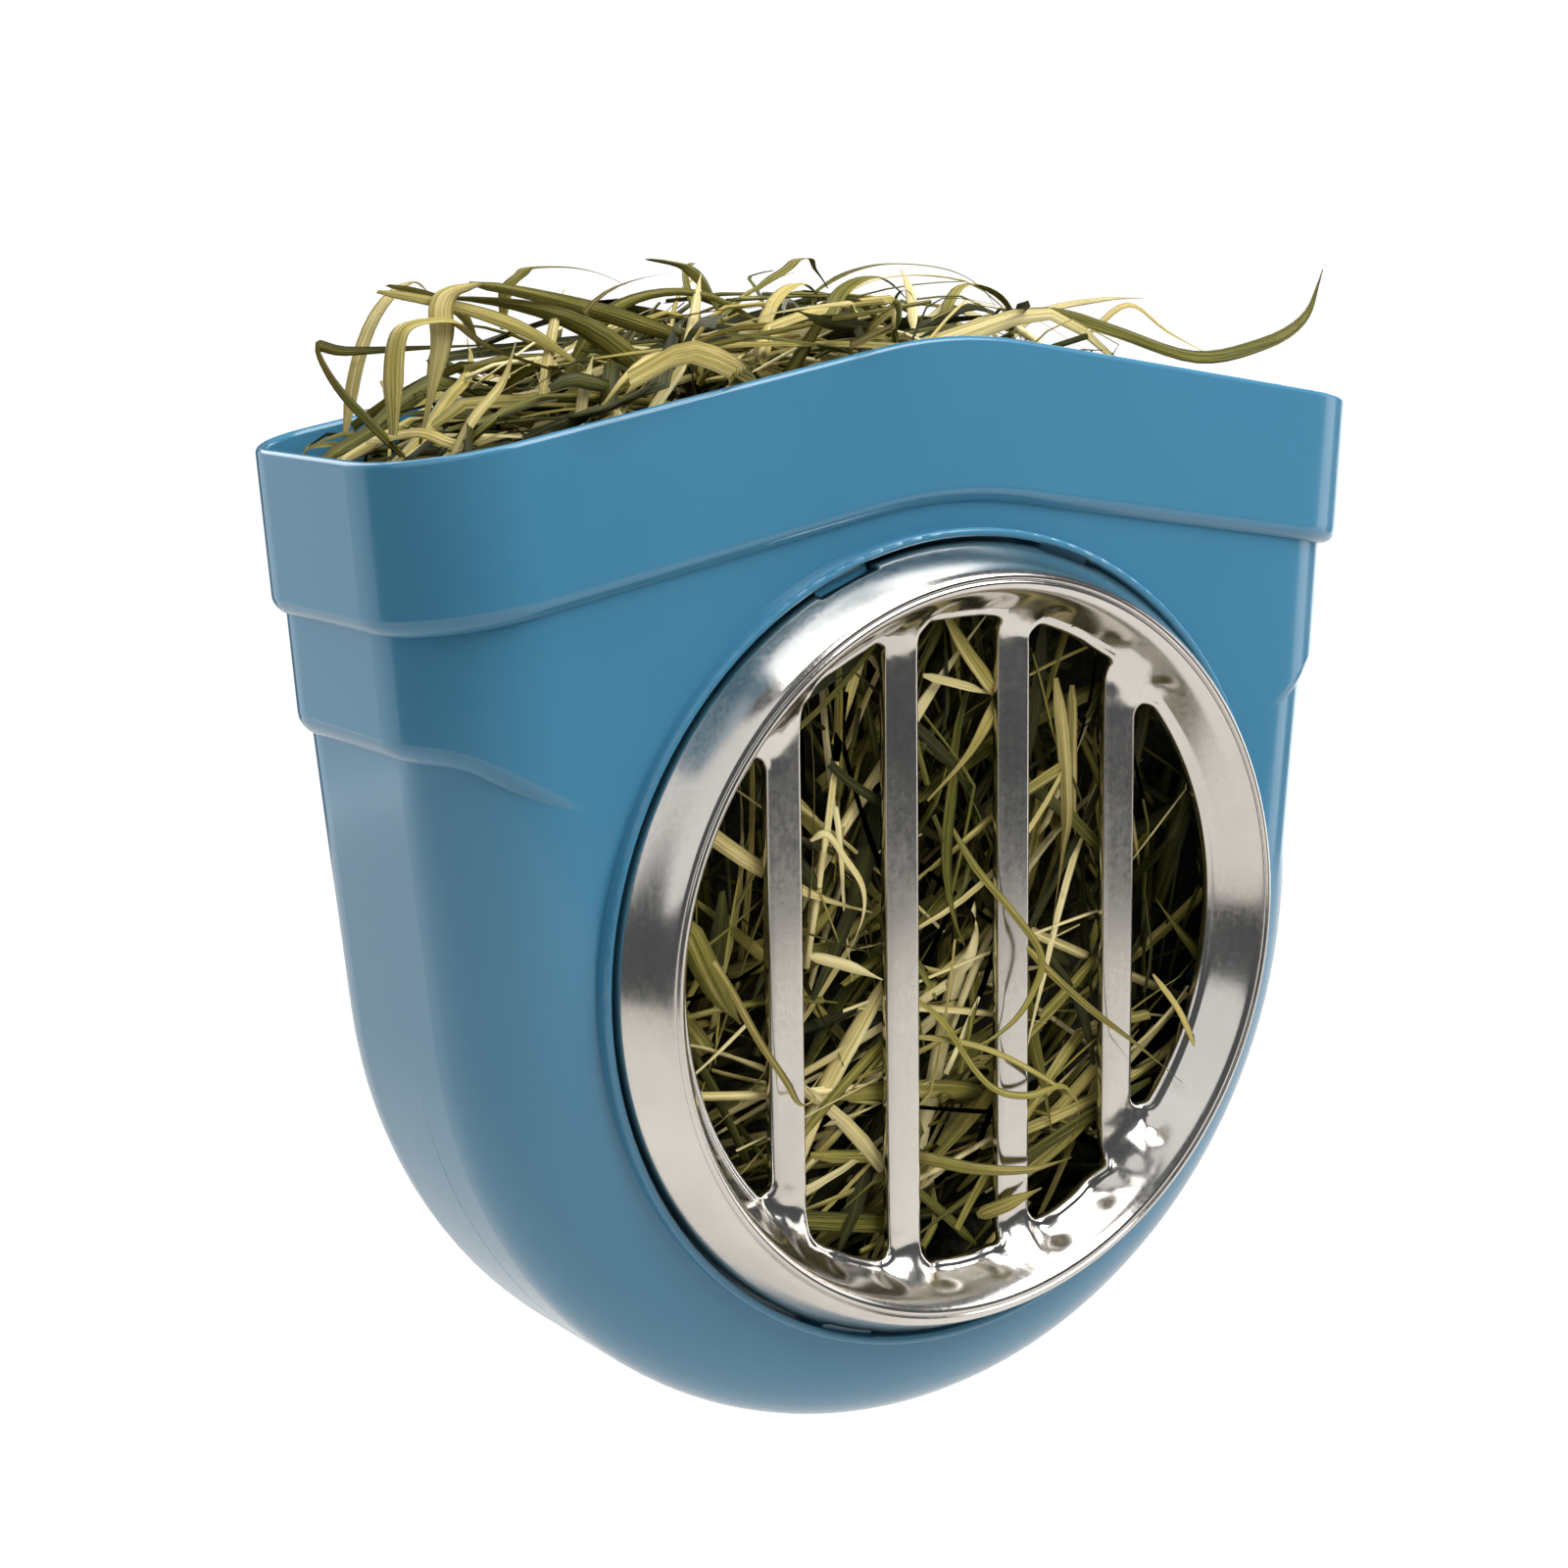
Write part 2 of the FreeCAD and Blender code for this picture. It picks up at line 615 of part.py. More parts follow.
def wing_nut(name):
    """Wing nut: a tapered boss with two wings and a bore."""
    base = "(wire_gap + washer_thick + nut_gap)"
    body = turned(name, [
        ("nut_bore", base, None),
        ("nut_base", base, None),
        ("nut_base", f"{base} + nut_foot", None),
        ("nut_neck", f"{base} + nut_height", "nut_round"),
        ("nut_bore", f"{base} + nut_height", None),
    ])
    for side, sign in (("right", ""), ("left", "0 - ")):
        sketch = new_sketch(body, f"{name}_{side}_wing_outline", "XY_Plane")
        rounded_outline(sketch, [
            (f"{sign}wing_root", f"{base} + wing_low", None),
            (f"{sign}wing_heel", f"{base} + heel_rise", "wing_round"),
            (f"{sign}wing_tip", f"{base} + wing_rise", "wing_round"),
            (f"{sign}wing_inside", f"{base} + wing_rise", "wing_round"),
            (f"{sign}wing_root", f"{base} + nut_height - nut_round", None),
        ])
        pad(body, f"{name}_{side}_wing", sketch, "wing_thick", midplane=True)
    return body


def fasteners():
    """Bolt, washer and wing nut at each side of the middle."""
    made = []
    for side, sign in (("left", "0 - "), ("right", "")):
        for kind, maker in (("bolt", bolt), ("washer", washer), ("wing_nut", wing_nut)):
            made.append(bind(maker(f"{side}_{kind}"), Placement__Base__x=f"{sign}bolt_half_span"))
    return made


# ---------------------------------------------------------------- checks and files


def check(pieces):
    """Stop if anything in the document failed or a piece has no sound solid."""
    failed = [thing.Name for thing in doc.Objects if {"Invalid", "Error"} & set(thing.State)]
    for piece in pieces:
        shape = piece.Shape
        if shape.isNull() or not shape.isValid() or len(shape.Solids) != 1:
            failed.append(f"{piece.Name}: {len(shape.Solids)} solids")
    if failed:
        raise RuntimeError("failed: " + ", ".join(failed))


pieces = [hopper_body(), front_grille()] + fasteners()
doc.recompute()
check(pieces)
os.makedirs("parts", exist_ok=True)
for piece in pieces:
    piece.Label = piece.Name
    piece.Shape.exportStep(f"parts/{piece.Label}.step")
    print(piece.Label, round(piece.Shape.Volume), "mm3")
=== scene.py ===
"""Hay feeder: a glossy blue moulded bin full of hay behind a pressed stainless grille, on a pale floor."""
import math
import random

import bmesh
import bpy
from mathutils import Matrix, Quaternion, Vector, noise
from mathutils.geometry import delaunay_2d_cdt
from mathutils.kdtree import KDTree


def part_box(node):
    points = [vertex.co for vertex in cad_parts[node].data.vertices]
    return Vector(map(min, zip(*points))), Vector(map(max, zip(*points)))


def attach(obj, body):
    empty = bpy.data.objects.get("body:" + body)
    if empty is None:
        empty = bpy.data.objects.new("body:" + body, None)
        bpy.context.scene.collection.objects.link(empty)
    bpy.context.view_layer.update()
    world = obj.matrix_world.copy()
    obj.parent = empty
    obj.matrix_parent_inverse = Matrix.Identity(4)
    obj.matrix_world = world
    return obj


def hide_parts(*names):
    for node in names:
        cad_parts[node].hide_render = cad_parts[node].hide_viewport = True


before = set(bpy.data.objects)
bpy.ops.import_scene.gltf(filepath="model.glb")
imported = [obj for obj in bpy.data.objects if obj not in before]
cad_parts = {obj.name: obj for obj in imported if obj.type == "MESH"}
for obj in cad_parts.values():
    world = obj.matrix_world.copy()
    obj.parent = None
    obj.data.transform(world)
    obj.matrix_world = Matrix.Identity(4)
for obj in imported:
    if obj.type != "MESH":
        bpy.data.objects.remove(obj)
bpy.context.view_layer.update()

MM = 0.001

# The frame's own measures, in millimetres. Depth is counted forward from the back face.
body_low, body_high = (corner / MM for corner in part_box("hopper_body"))
grille_low, grille_high = (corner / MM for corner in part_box("front_grille"))
AXIS_Z = (grille_low.z + grille_high.z) / 2
CROWN = -grille_low.y
GRILLE_EDGE = -grille_high.y
GRILLE_R = grille_high.x
BAR_PLANE = CROWN - 9.9

# ---------------------------------------------------------------- meshes


def placed(name, mesh, body, material, node=None):
    """Object for a mesh; it rides on a body and may replace a CAD node."""
    piece = bpy.data.objects.new(name, mesh)
    bpy.context.collection.objects.link(piece)
    mesh.materials.clear()
    mesh.materials.append(material)
    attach(piece, body)
    if node:
        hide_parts(node)
    return piece


def made(name, points, faces, body, material, node=None):
    """Smooth mesh object from points in millimetres."""
    mesh = bpy.data.meshes.new(name)
    mesh.from_pydata([Vector(point) * MM for point in points], [], faces)
    mesh.validate()
    mesh.shade_smooth()
    return placed(name, mesh, body, material, node)


def smooth_step(low, high, value):
    """Smooth rise from 0 to 1 between two values."""
    part = min(max((value - low) / (high - low), 0.0), 1.0)
    return part * part * (3 - 2 * part)


def bezier(points, steps):
    """Points along a Bezier curve, without its first one."""
    curve = []
    for n in range(1, steps + 1):
        layer = [Vector(point) for point in points]
        while len(layer) > 1:
            layer = [a.lerp(b, n / steps) for a, b in zip(layer, layer[1:])]
        curve.append(layer[0])
    return curve


# ---------------------------------------------------------------- materials


class Nodes:
    """Short way to build a material's nodes."""

    def __init__(self, name):
        self.material = bpy.data.materials.new(name)
        self.material.use_nodes = True
        self.tree = self.material.node_tree
        self.shader = self.tree.nodes["Principled BSDF"]

    def add(self, kind, inputs=(), **settings):
        """New node; inputs are (socket, value or output) pairs."""
        node = self.tree.nodes.new(kind)
        for key, value in settings.items():
            setattr(node, key, value)
        for socket, value in inputs:
            self.feed(node.inputs[socket], value)
        return node

    def feed(self, socket, value):
        """Link an output to a socket, or set its value."""
        if isinstance(value, bpy.types.NodeSocket):
            self.tree.links.new(value, socket)
        else:
            socket.default_value = value

    def set(self, **inputs):
        """Set or link sockets of the shader; an underscore stands for a space."""
        for name, value in inputs.items():
            self.feed(self.shader.inputs[name.replace("_", " ")], value)

    def noise(self, scale, detail=3.0, roughness=0.5, vector=None):
        """Noise between 0 and 1, in object coordinates unless a vector is given."""
        vector = vector or self.add("ShaderNodeTexCoord").outputs["Object"]
        inputs = [("Vector", vector), ("Scale", scale), ("Detail", detail), ("Roughness", roughness)]
        return self.add("ShaderNodeTexNoise", inputs).outputs["Fac"]

    def ramp(self, factor, stops):
        """Colour ramp from (position, colour) stops."""
        node = self.add("ShaderNodeValToRGB", [("Fac", factor)])
        while len(node.color_ramp.elements) < len(stops):
            node.color_ramp.elements.new(0.5)
        for element, (position, colour) in zip(node.color_ramp.elements, stops):
            element.position = position
            element.color = (*colour, 1)
        return node.outputs["Color"]

    def span(self, factor, low, high, from_low=0.0, from_high=1.0):
        """Map a factor to a range."""
        inputs = [("Value", factor), ("From Min", from_low), ("From Max", from_high),
                  ("To Min", low), ("To Max", high)]
        return self.add("ShaderNodeMapRange", inputs).outputs["Result"]

    def maths(self, operation, *values):
        """Arithmetic node."""
        return self.add("ShaderNodeMath", list(enumerate(values)), operation=operation).outputs["Value"]

    def mix(self, factor, first, second, blend="MIX"):
        """Mix of two colours."""
        node = self.add("ShaderNodeMix", data_type="RGBA", blend_type=blend)
        self.feed(node.inputs[0], factor)
        self.feed(node.inputs[6], first)
        self.feed(node.inputs[7], second)
        return node.outputs[2]

    def stretched(self, scale):
        """Object coordinates scaled along each axis."""
        inputs = [("Vector", self.add("ShaderNodeTexCoord").outputs["Object"]), ("Scale", scale)]
        return self.add("ShaderNodeMapping", inputs).outputs["Vector"]

    def bump(self, height, distance, strength=1.0):
        """Bump from a height; the distance is in metres."""
        inputs = [("Height", height), ("Distance", distance), ("Strength", strength)]
        self.set(Normal=self.add("ShaderNodeBump", inputs).outputs["Normal"])


def blue_plastic():
    """Glossy moulded plastic: slight unevenness, faint scuffs and a parting line round the bottom."""
    m = Nodes("glossy_blue")
    tone = m.noise(14, 2)
    m.set(Base_Color=m.ramp(tone, [(0.3, (0.055, 0.222, 0.366)), (0.7, (0.065, 0.246, 0.396))]))
    scuffs = m.noise(60, 6, 0.7)
    m.set(Roughness=m.span(scuffs, 0.16, 0.24, 0.35, 0.7))
    place = m.add("ShaderNodeSeparateXYZ", [("Vector", m.add("ShaderNodeTexCoord").outputs["Object"])])
    middle = (body_low.y + body_high.y) / 2 * MM
    off_line = m.maths("ABSOLUTE", m.maths("SUBTRACT", place.outputs["Y"], middle))
    line = m.span(off_line, 1.0, 0.0, 0.0, 0.0003)
    below = m.span(place.outputs["Z"], 1.0, 0.0, -0.12, -0.07)
    ripple = m.span(m.noise(9, 1), -0.5, 0.5)
    grain = m.span(m.noise(1400, 2), -0.006, 0.006)
    height = m.maths("ADD", m.maths("MULTIPLY", line, below), m.maths("ADD", ripple, grain))
    m.bump(height, 0.0003)
    m.set(Coat_Weight=0.25, Coat_Roughness=0.08, IOR=1.5)
    return m.material


def stainless():
    """Pressed stainless sheet: polished, with a fine mill grain, rub marks and small pits."""
    m = Nodes("polished_stainless")
    cloud = m.noise(30, 4, 0.6)
    m.set(Base_Color=m.ramp(cloud, [(0.3, (0.62, 0.585, 0.54)), (0.75, (0.76, 0.725, 0.68))]), Metallic=1.0)
    grain = m.noise(900, 4, 0.65)
    streaks = m.noise(1, 4, 0.6, m.stretched((1600, 1600, 90)))
    worn = m.maths("MULTIPLY", m.span(cloud, 0.6, 1.3), m.span(streaks, 0.8, 1.25))
    m.set(Roughness=m.maths("MULTIPLY", worn, m.span(grain, 0.13, 0.21, 0.3, 0.7)))
    height = m.maths("ADD", m.span(grain, 0.0, 0.5), m.span(streaks, 0.0, 0.5))
    m.bump(height, 0.000012, 0.5)
    return m.material


def zinc():
    """Bright zinc plating, a little cloudy."""
    m = Nodes("bright_zinc")
    cloud = m.noise(160, 4, 0.6)
    m.set(Base_Color=m.ramp(cloud, [(0.3, (0.58, 0.60, 0.62)), (0.7, (0.66, 0.68, 0.69))]), Metallic=1.0)
    m.set(Roughness=m.span(cloud, 0.28, 0.38, 0.3, 0.7))
    m.bump(m.noise(1500, 3), 0.00001, 0.6)
    return m.material


def hay_blades():
    """Dried grass: each blade from olive to straw, with long grain and brown marks, and painted shade on
    its edges.
    """
    m = Nodes("hay_blades")
    tint, across, along, fold_shade = (m.add("ShaderNodeAttribute", attribute_name=name).outputs["Fac"]
                                 for name in ("tint", "across", "along", "fold_shade"))
    inputs = [("X", m.maths("MULTIPLY", across, 1.4)), ("Y", m.maths("MULTIPLY", along, 0.03)),
              ("Z", m.maths("MULTIPLY", tint, 90.0))]
    grain = m.noise(1.0, 3, 0.6, m.add("ShaderNodeCombineXYZ", inputs).outputs["Vector"])
    blotch = m.noise(70, 3, 0.6)
    uneven = m.maths("ADD", m.span(grain, -0.28, 0.28, 0.25, 0.75), m.span(blotch, -0.12, 0.12))
    shade = m.maths("ADD", tint, uneven)
    stops = [(0.0, (0.026, 0.028, 0.005)), (0.25, (0.115, 0.112, 0.016)), (0.5, (0.30, 0.26, 0.055)),
             (0.75, (0.64, 0.51, 0.18)), (1.0, (0.92, 0.80, 0.44))]
    brown = m.span(m.noise(38, 4, 0.7), 0.0, 0.75, 0.6, 0.72)
    body = m.mix(brown, m.ramp(shade, stops), (0.13, 0.065, 0.015, 1))
    # Painted shade: each blade darker towards its edges than along its ridge, one edge more than the other.
    edges = m.ramp(fold_shade, [(0.0, (0.42, 0.42, 0.36)), (0.5, (0.95, 0.95, 0.9))])
    fold_shaded = m.mix(1.0, body, edges, "MULTIPLY")
    m.set(Base_Color=fold_shaded, Roughness=0.45, Specular_IOR_Level=0.22)
    m.bump(grain, 0.0004, 0.9)
    return m.material


def painted_hay_shade():
    """Painted shade: near-black hay colour for the lump between the blades."""
    m = Nodes("painted_hay_shade")
    stops = [(0.4, (0.008, 0.007, 0.002)), (0.8, (0.05, 0.045, 0.014))]
    m.set(Base_Color=m.ramp(m.noise(220, 5, 0.7), stops), Roughness=0.9)
    m.bump(m.noise(400, 4), 0.002)
    return m.material


PLASTIC = blue_plastic()
STEEL = stainless()
ZINC = zinc()
HAY = hay_blades()
PAINTED_HAY_SHADE = painted_hay_shade()

# ---------------------------------------------------------------- the moulding

RIM_ROUND = 0.95
RIM_FROM = body_high.z * 0.65
SAME_PLACE = 1e-6


def is_rim(edge):
    """True for the sharp edges along the top of the rim."""
    if len(edge.link_faces) != 2 or min(v.co.z for v in edge.verts) < RIM_FROM * MM:
        return False
    rises = sorted(face.normal.z for face in edge.link_faces)
    return rises[0] < 0.5 and rises[1] > 0.9


def keep_normals(mesh, source, rounded):
    """Give a mesh its source's normals again, except on the rounded faces."""
    finder = KDTree(len(source.loops))
    flats = [None] * len(source.loops)
    for face in source.polygons:
        for n in face.loop_indices:
            finder.insert(source.vertices[source.loops[n].vertex_index].co, n)
            flats[n] = face.normal
    finder.balance()
    normals = [Vector(corner.vector) for corner in mesh.corner_normals]
    for face in mesh.polygons:
        if face.index in rounded:
            continue
        for n in face.loop_indices:
            at = mesh.vertices[mesh.loops[n].vertex_index].co
            near = finder.find_range(at, SAME_PLACE) or finder.find_range(at, 3 * RIM_ROUND * MM)
            if near:
                best = max(near, key=lambda found: flats[found[1]].dot(face.normal))[1]
                normals[n] = Vector(source.corner_normals[best].vector)
    mesh.normals_split_custom_set(normals)


def moulding():
    """The CAD moulding with its rim's edges rounded."""
    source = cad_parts["hopper_body"].data
    mesh = source.copy()
    mesh.name = "moulded_bin"
    shape = bmesh.new()
    shape.from_mesh(mesh)
    bmesh.ops.remove_doubles(shape, verts=shape.verts, dist=SAME_PLACE)
    shape.normal_update()
    rim = [edge for edge in shape.edges if is_rim(edge)]
    bevelled = bmesh.ops.bevel(
        shape, geom=rim, offset=RIM_ROUND * MM, segments=5, profile=0.5, affect="EDGES")
    shape.faces.index_update()
    rounded = {face.index for face in bevelled["faces"]}
    shape.to_mesh(mesh)
    shape.free()
    mesh.shade_smooth()
    keep_normals(mesh, source, rounded)
    placed("moulded_bin", mesh, "hopper", PLASTIC, "hopper_body")


# ---------------------------------------------------------------- the grille

BAR_PITCH = 26.65
BARS = [(i - 1.5) * BAR_PITCH for i in range(4)]
BAR_HALF = 3.9
BAR_BULGE = 0.1
ROLL = 1.3  # radius of the rolled edges of the bars and slots
BAR_FLAT = BAR_HALF - ROLL
FLANGE = 2.2
SHEET = 0.9
SLOT_END = 62.5
SLOT_CORNER = 2.3
WEB_EDGE = SLOT_END + ROLL + 0.5
CONE_FOOT = 63.0
CONE_TOP = 67.3
CONE_SLOPE = 8.9 / 5.1  # rise of the inner cone, per mm of radius
BAR_FILLET, BAR_SWEEP = 2.2, 6.0  # of the bars into the cone, and what their middles add to it
ENDS_FROM, ENDS_TO = 55.0, 60.0  # radii over which the bars' ends begin
DENT_RING, DENT_ASIDE, DENT_DEPTH, DENT_SIZE = 65.4, 3.4, 0.9, 2.3
CREASE_SIZE = 4.2
CREASE_TOP, CREASE_BOTTOM = 0.30, 0.55
CROWN_INNER, CROWN_OUTER = 69.6, 70.8
GROOVE_FROM, GROOVE_WIDTH, GROOVE_DEPTH = 69.85, 0.8, 0.32
HOOKS = (20, 160)  # degrees from the top to the notches for the snap hooks, on either side
NOTCH_HALF = 5.1  # degrees
NOTCH_FRONT = CROWN - 9.3
AROUND = 720
SIDE_STEPS, CORNER_STEPS, END_STEPS, LONG_END_STEPS = 90, 8, 24, 130


def soft_max(a, b, reach):
    """Larger of two values, with a fillet where they are nearer than reach."""
    near = max(reach - abs(a - b), 0.0)
    return max(a, b) + near * near / (4 * reach)


def sheet_depth(x, z):
    """Depth of the pressed sheet's front at a place about the grille's axis."""
    radius = math.hypot(x, z)
    cone = BAR_PLANE + (radius - CONE_FOOT) * CONE_SLOPE
    across = min(abs(x - bar) for bar in BARS)
    crowned = BAR_BULGE * (1 - min(across / BAR_FLAT, 1.0) ** 2)
    fillet = BAR_FILLET + BAR_SWEEP * (1 - smooth_step(1.8, 6.5, across))
    depth = soft_max(cone, BAR_PLANE + crowned, fillet)
    fade = 1 - smooth_step(CONE_TOP - 2.0, CONE_TOP, radius)
    ends = smooth_step(ENDS_FROM, ENDS_TO, radius) * fade
    if ends > 0:
        for bar in BARS:
            for side in (-1, 1):
                middle = bar + side * (BAR_HALF + DENT_ASIDE)
                height = math.sqrt(DENT_RING ** 2 - middle ** 2)
                away = math.hypot(x - middle, abs(z) - height)
                depth -= DENT_DEPTH * math.exp(-(away / DENT_SIZE) ** 2) * ends
        creases = noise.noise(Vector((x / CREASE_SIZE, z / CREASE_SIZE, 7.3)))
        creases *= CREASE_TOP if z > 0 else CREASE_BOTTOM
        depth += creases * ends * (1 - smooth_step(3.0, 12.0, across))
    return depth


def arc(x, z, radius, start, end, steps):
    """Places along an arc, without its last one."""
    angles = [start + (end - start) * n / steps for n in range(steps)]
    return [(x + radius * math.cos(angle), z + radius * math.sin(angle)) for angle in angles]


def straight(x, start, end):
    """Places along a straight side, without its last one."""
    return [(x, start + (end - start) * n / SIDE_STEPS) for n in range(SIDE_STEPS)]


def slot_loop(i, grown):
    """Outline of slot i (-2 to 2), grown outward; a slot's outlines all have the same count of points."""
    end, corner = SLOT_END + grown, SLOT_CORNER + grown
    high = (i + 0.5) * BAR_PITCH - BAR_HALF + grown if i < 2 else None
    low = (i - 0.5) * BAR_PITCH + BAR_HALF - grown if i > -2 else None
    flipped = high is None
    if flipped:
        low, high = None, -low
    right_x = high - corner
    right_z = math.sqrt((end - corner) ** 2 - right_x ** 2)
    right_turn = math.atan2(right_z, right_x)
    points = straight(high, -right_z, right_z)
    points += arc(right_x, right_z, corner, 0, right_turn, CORNER_STEPS)
    if low is None:
        points += arc(0, 0, end, right_turn, 2 * math.pi - right_turn, LONG_END_STEPS)
    else:
        left_x = low + corner
        left_z = math.sqrt((end - corner) ** 2 - left_x ** 2)
        left_turn = math.atan2(left_z, left_x)
        points += arc(0, 0, end, right_turn, left_turn, END_STEPS)
        points += arc(left_x, left_z, corner, left_turn, math.pi, CORNER_STEPS)
        points += straight(low, left_z, -left_z)
        points += arc(left_x, -left_z, corner, math.pi, 2 * math.pi - left_turn, CORNER_STEPS)
        points += arc(0, 0, end, -left_turn, -right_turn, END_STEPS)
    points += arc(right_x, -right_z, corner, -right_turn, 0, CORNER_STEPS)
    if flipped:
        points = [(-x, z) for x, z in reversed(points)]
    return points


def inside(loop, x, z):
    """True if a place lies inside a closed loop."""
    crossings = False
    for (x0, z0), (x1, z1) in zip(loop, loop[1:] + loop[:1]):
        if (z0 > z) != (z1 > z) and x < (x1 - x0) * (z - z0) / (z1 - z0) + x0:
            crossings = not crossings
    return crossings


def web_places(circle, loops):
    """Places of the flat web, its edge first, and the edges of its outline and slots."""
    places = [Vector((x * WEB_EDGE, z * WEB_EDGE)) for x, z in circle]
    rings = [list(range(AROUND))]
    for loop in loops:
        rings.append(list(range(len(places), len(places) + len(loop))))
        places += [Vector(point) for point in loop]
    edges = [(ring[n - 1], ring[n]) for ring in rings for n in range(len(ring))]
    step, clear = 0.75, 0.45
    reach = int(WEB_EDGE / step)
    for i in range(-reach, reach + 1):
        for j in range(-reach, reach + 1):
            x, z = i * step, j * step + (i % 2) * step / 2
            radius = math.hypot(x, z)
            across = min(abs(x - bar) for bar in BARS)
            if radius > WEB_EDGE - 0.4 or (across > BAR_FLAT - 0.2 and radius < SLOT_END - 6):
                continue
            if any(inside(loop, x, z) for loop in loops):
                continue
            if min(math.hypot(x - px, z - pz) for loop in loops for px, pz in loop[::2]) > clear:
                places.append(Vector((x, z)))
    return places, edges


def turned_profile():
    """Radius and depth from the web over the crown to the seat; without a depth it follows the web."""
    profile = [(WEB_EDGE + (CONE_TOP - WEB_EDGE) * n / 9, None) for n in range(10)]
    foot = BAR_PLANE + (CONE_TOP - CONE_FOOT) * CONE_SLOPE
    brow = CROWN - 0.05
    corner = CONE_FOOT + (brow - BAR_PLANE) / CONE_SLOPE
    profile += [tuple(p) for p in bezier([(CONE_TOP, foot), (corner, brow), (CROWN_INNER, CROWN)], 8)]
    for n in range(1, 9):
        dip = GROOVE_DEPTH * math.sin(math.pi * n / 8) ** 2
        profile.append((GROOVE_FROM + GROOVE_WIDTH * n / 8, CROWN - dip))
    slope = [(CROWN_OUTER, CROWN), (72.3, brow)]
    slope += [(GRILLE_R - 2.9, CROWN - 4.6), (GRILLE_R - 0.1, CROWN - 10.2)]
    profile += [tuple(p) for p in bezier(slope, 18)]
    radius, depth = profile[-1]
    for n in range(1, 9):
        profile.append((radius + 0.1 * n / 8, depth + (GRILLE_EDGE - depth) * n / 8))
    return profile


def cut_notches(shape):
    """Cut the notches for the snap hooks out of the grille's wall."""
    doomed = []
    for face in shape.faces:
        at = face.calc_center_median()
        off = math.degrees(math.atan2(at.x, at.z - AXIS_Z * MM))
        near = min(abs(abs(off) - hook) for hook in HOOKS)
        at_wall = math.hypot(at.x, at.z - AXIS_Z * MM) > (GRILLE_R - 1.0) * MM
        if at_wall and near < NOTCH_HALF and -at.y < NOTCH_FRONT * MM:
            doomed.append(face)
    bmesh.ops.delete(shape, geom=doomed, context="FACES")


def grille():
    """The pressed sheet: web with slots, rolled bar edges, cone, crown and outer wall."""
    points, faces = [], []

    def put(x, z, depth):
        points.append((x, -depth, z + AXIS_Z))
        return len(points) - 1

    angles = [2 * math.pi * n / AROUND for n in range(AROUND)]
    circle = [(math.cos(angle), math.sin(angle)) for angle in angles]
    outer_loops = [slot_loop(i, ROLL) for i in range(-2, 3)]

    places, edges = web_places(circle, outer_loops)
    flat, _, triangles, _, _, _ = delaunay_2d_cdt(places, edges, [], 0, 1e-5)
    web = [put(p.x, p.y, sheet_depth(p.x, p.y)) for p in flat]
    for triangle in triangles:
        a, b, c = (flat[n] for n in triangle)
        middle = (a + b + c) / 3
        if not any(inside(loop, middle.x, middle.y) for loop in outer_loops):
            wound = (b - a).cross(c - a) > 0
            faces.append([web[n] for n in (triangle if wound else reversed(triangle))])

    turns = [math.radians(15 * n) for n in range(7)]
    bends = [(ROLL * (1 - math.sin(turn)), ROLL * (1 - math.cos(turn))) for turn in turns]
    bends += [(0.0, (ROLL + FLANGE) / 2), (0.0, FLANGE)]
    for i, loop in zip(range(-2, 3), outer_loops):
        tops = [sheet_depth(x, z) for x, z in loop]
        rows = []
        for grown, drop in bends:
            rows.append([put(x, z, top - drop) for (x, z), top in zip(slot_loop(i, grown), tops)])
        for first, second in zip(rows, rows[1:]):
            for n in range(len(loop)):
                m = (n + 1) % len(loop)
                faces.append((first[n], first[m], second[m], second[n]))

    rows = []
    for radius, depth in turned_profile():
        row = []
        for x, z in circle:
            at = sheet_depth(x * radius, z * radius) if depth is None else depth
            row.append(put(x * radius, z * radius, at))
        rows.append(row)
    for first, second in zip(rows, rows[1:]):
        for n in range(AROUND):
            m = (n + 1) % AROUND
            faces.append((first[n], second[n], second[m], first[m]))

    piece = made("pressed_grille", points, faces, "grille", STEEL, "front_grille")
    shape = bmesh.new()
    shape.from_mesh(piece.data)
    bmesh.ops.remove_doubles(shape, verts=shape.verts, dist=0.02 * MM)
    bmesh.ops.recalc_face_normals(shape, faces=shape.faces)
    if sum(face.normal.y * face.calc_area() for face in shape.faces) > 0:
        bmesh.ops.reverse_faces(shape, faces=shape.faces)
    cut_notches(shape)
    shape.to_mesh(piece.data)
    shape.free()
    piece.data.shade_smooth()
    thick = piece.modifiers.new("sheet", "SOLIDIFY")
    thick.thickness = SHEET * MM
    thick.offset = -1


# ---------------------------------------------------------------- the bolts

SHANK, ROOT, THREAD_PITCH = 3.0, 2.58, 1.0
SLIM = (ROOT - 0.02) / SHANK
THREAD_FROM, THREAD_TO, RUNOUT = 1.0, 29.2, 0.6
THREAD_SIDES, THREAD_STEPS = 40, 10
RIDGE_HALF, RIDGE_FLAT = 0.42, 1.12


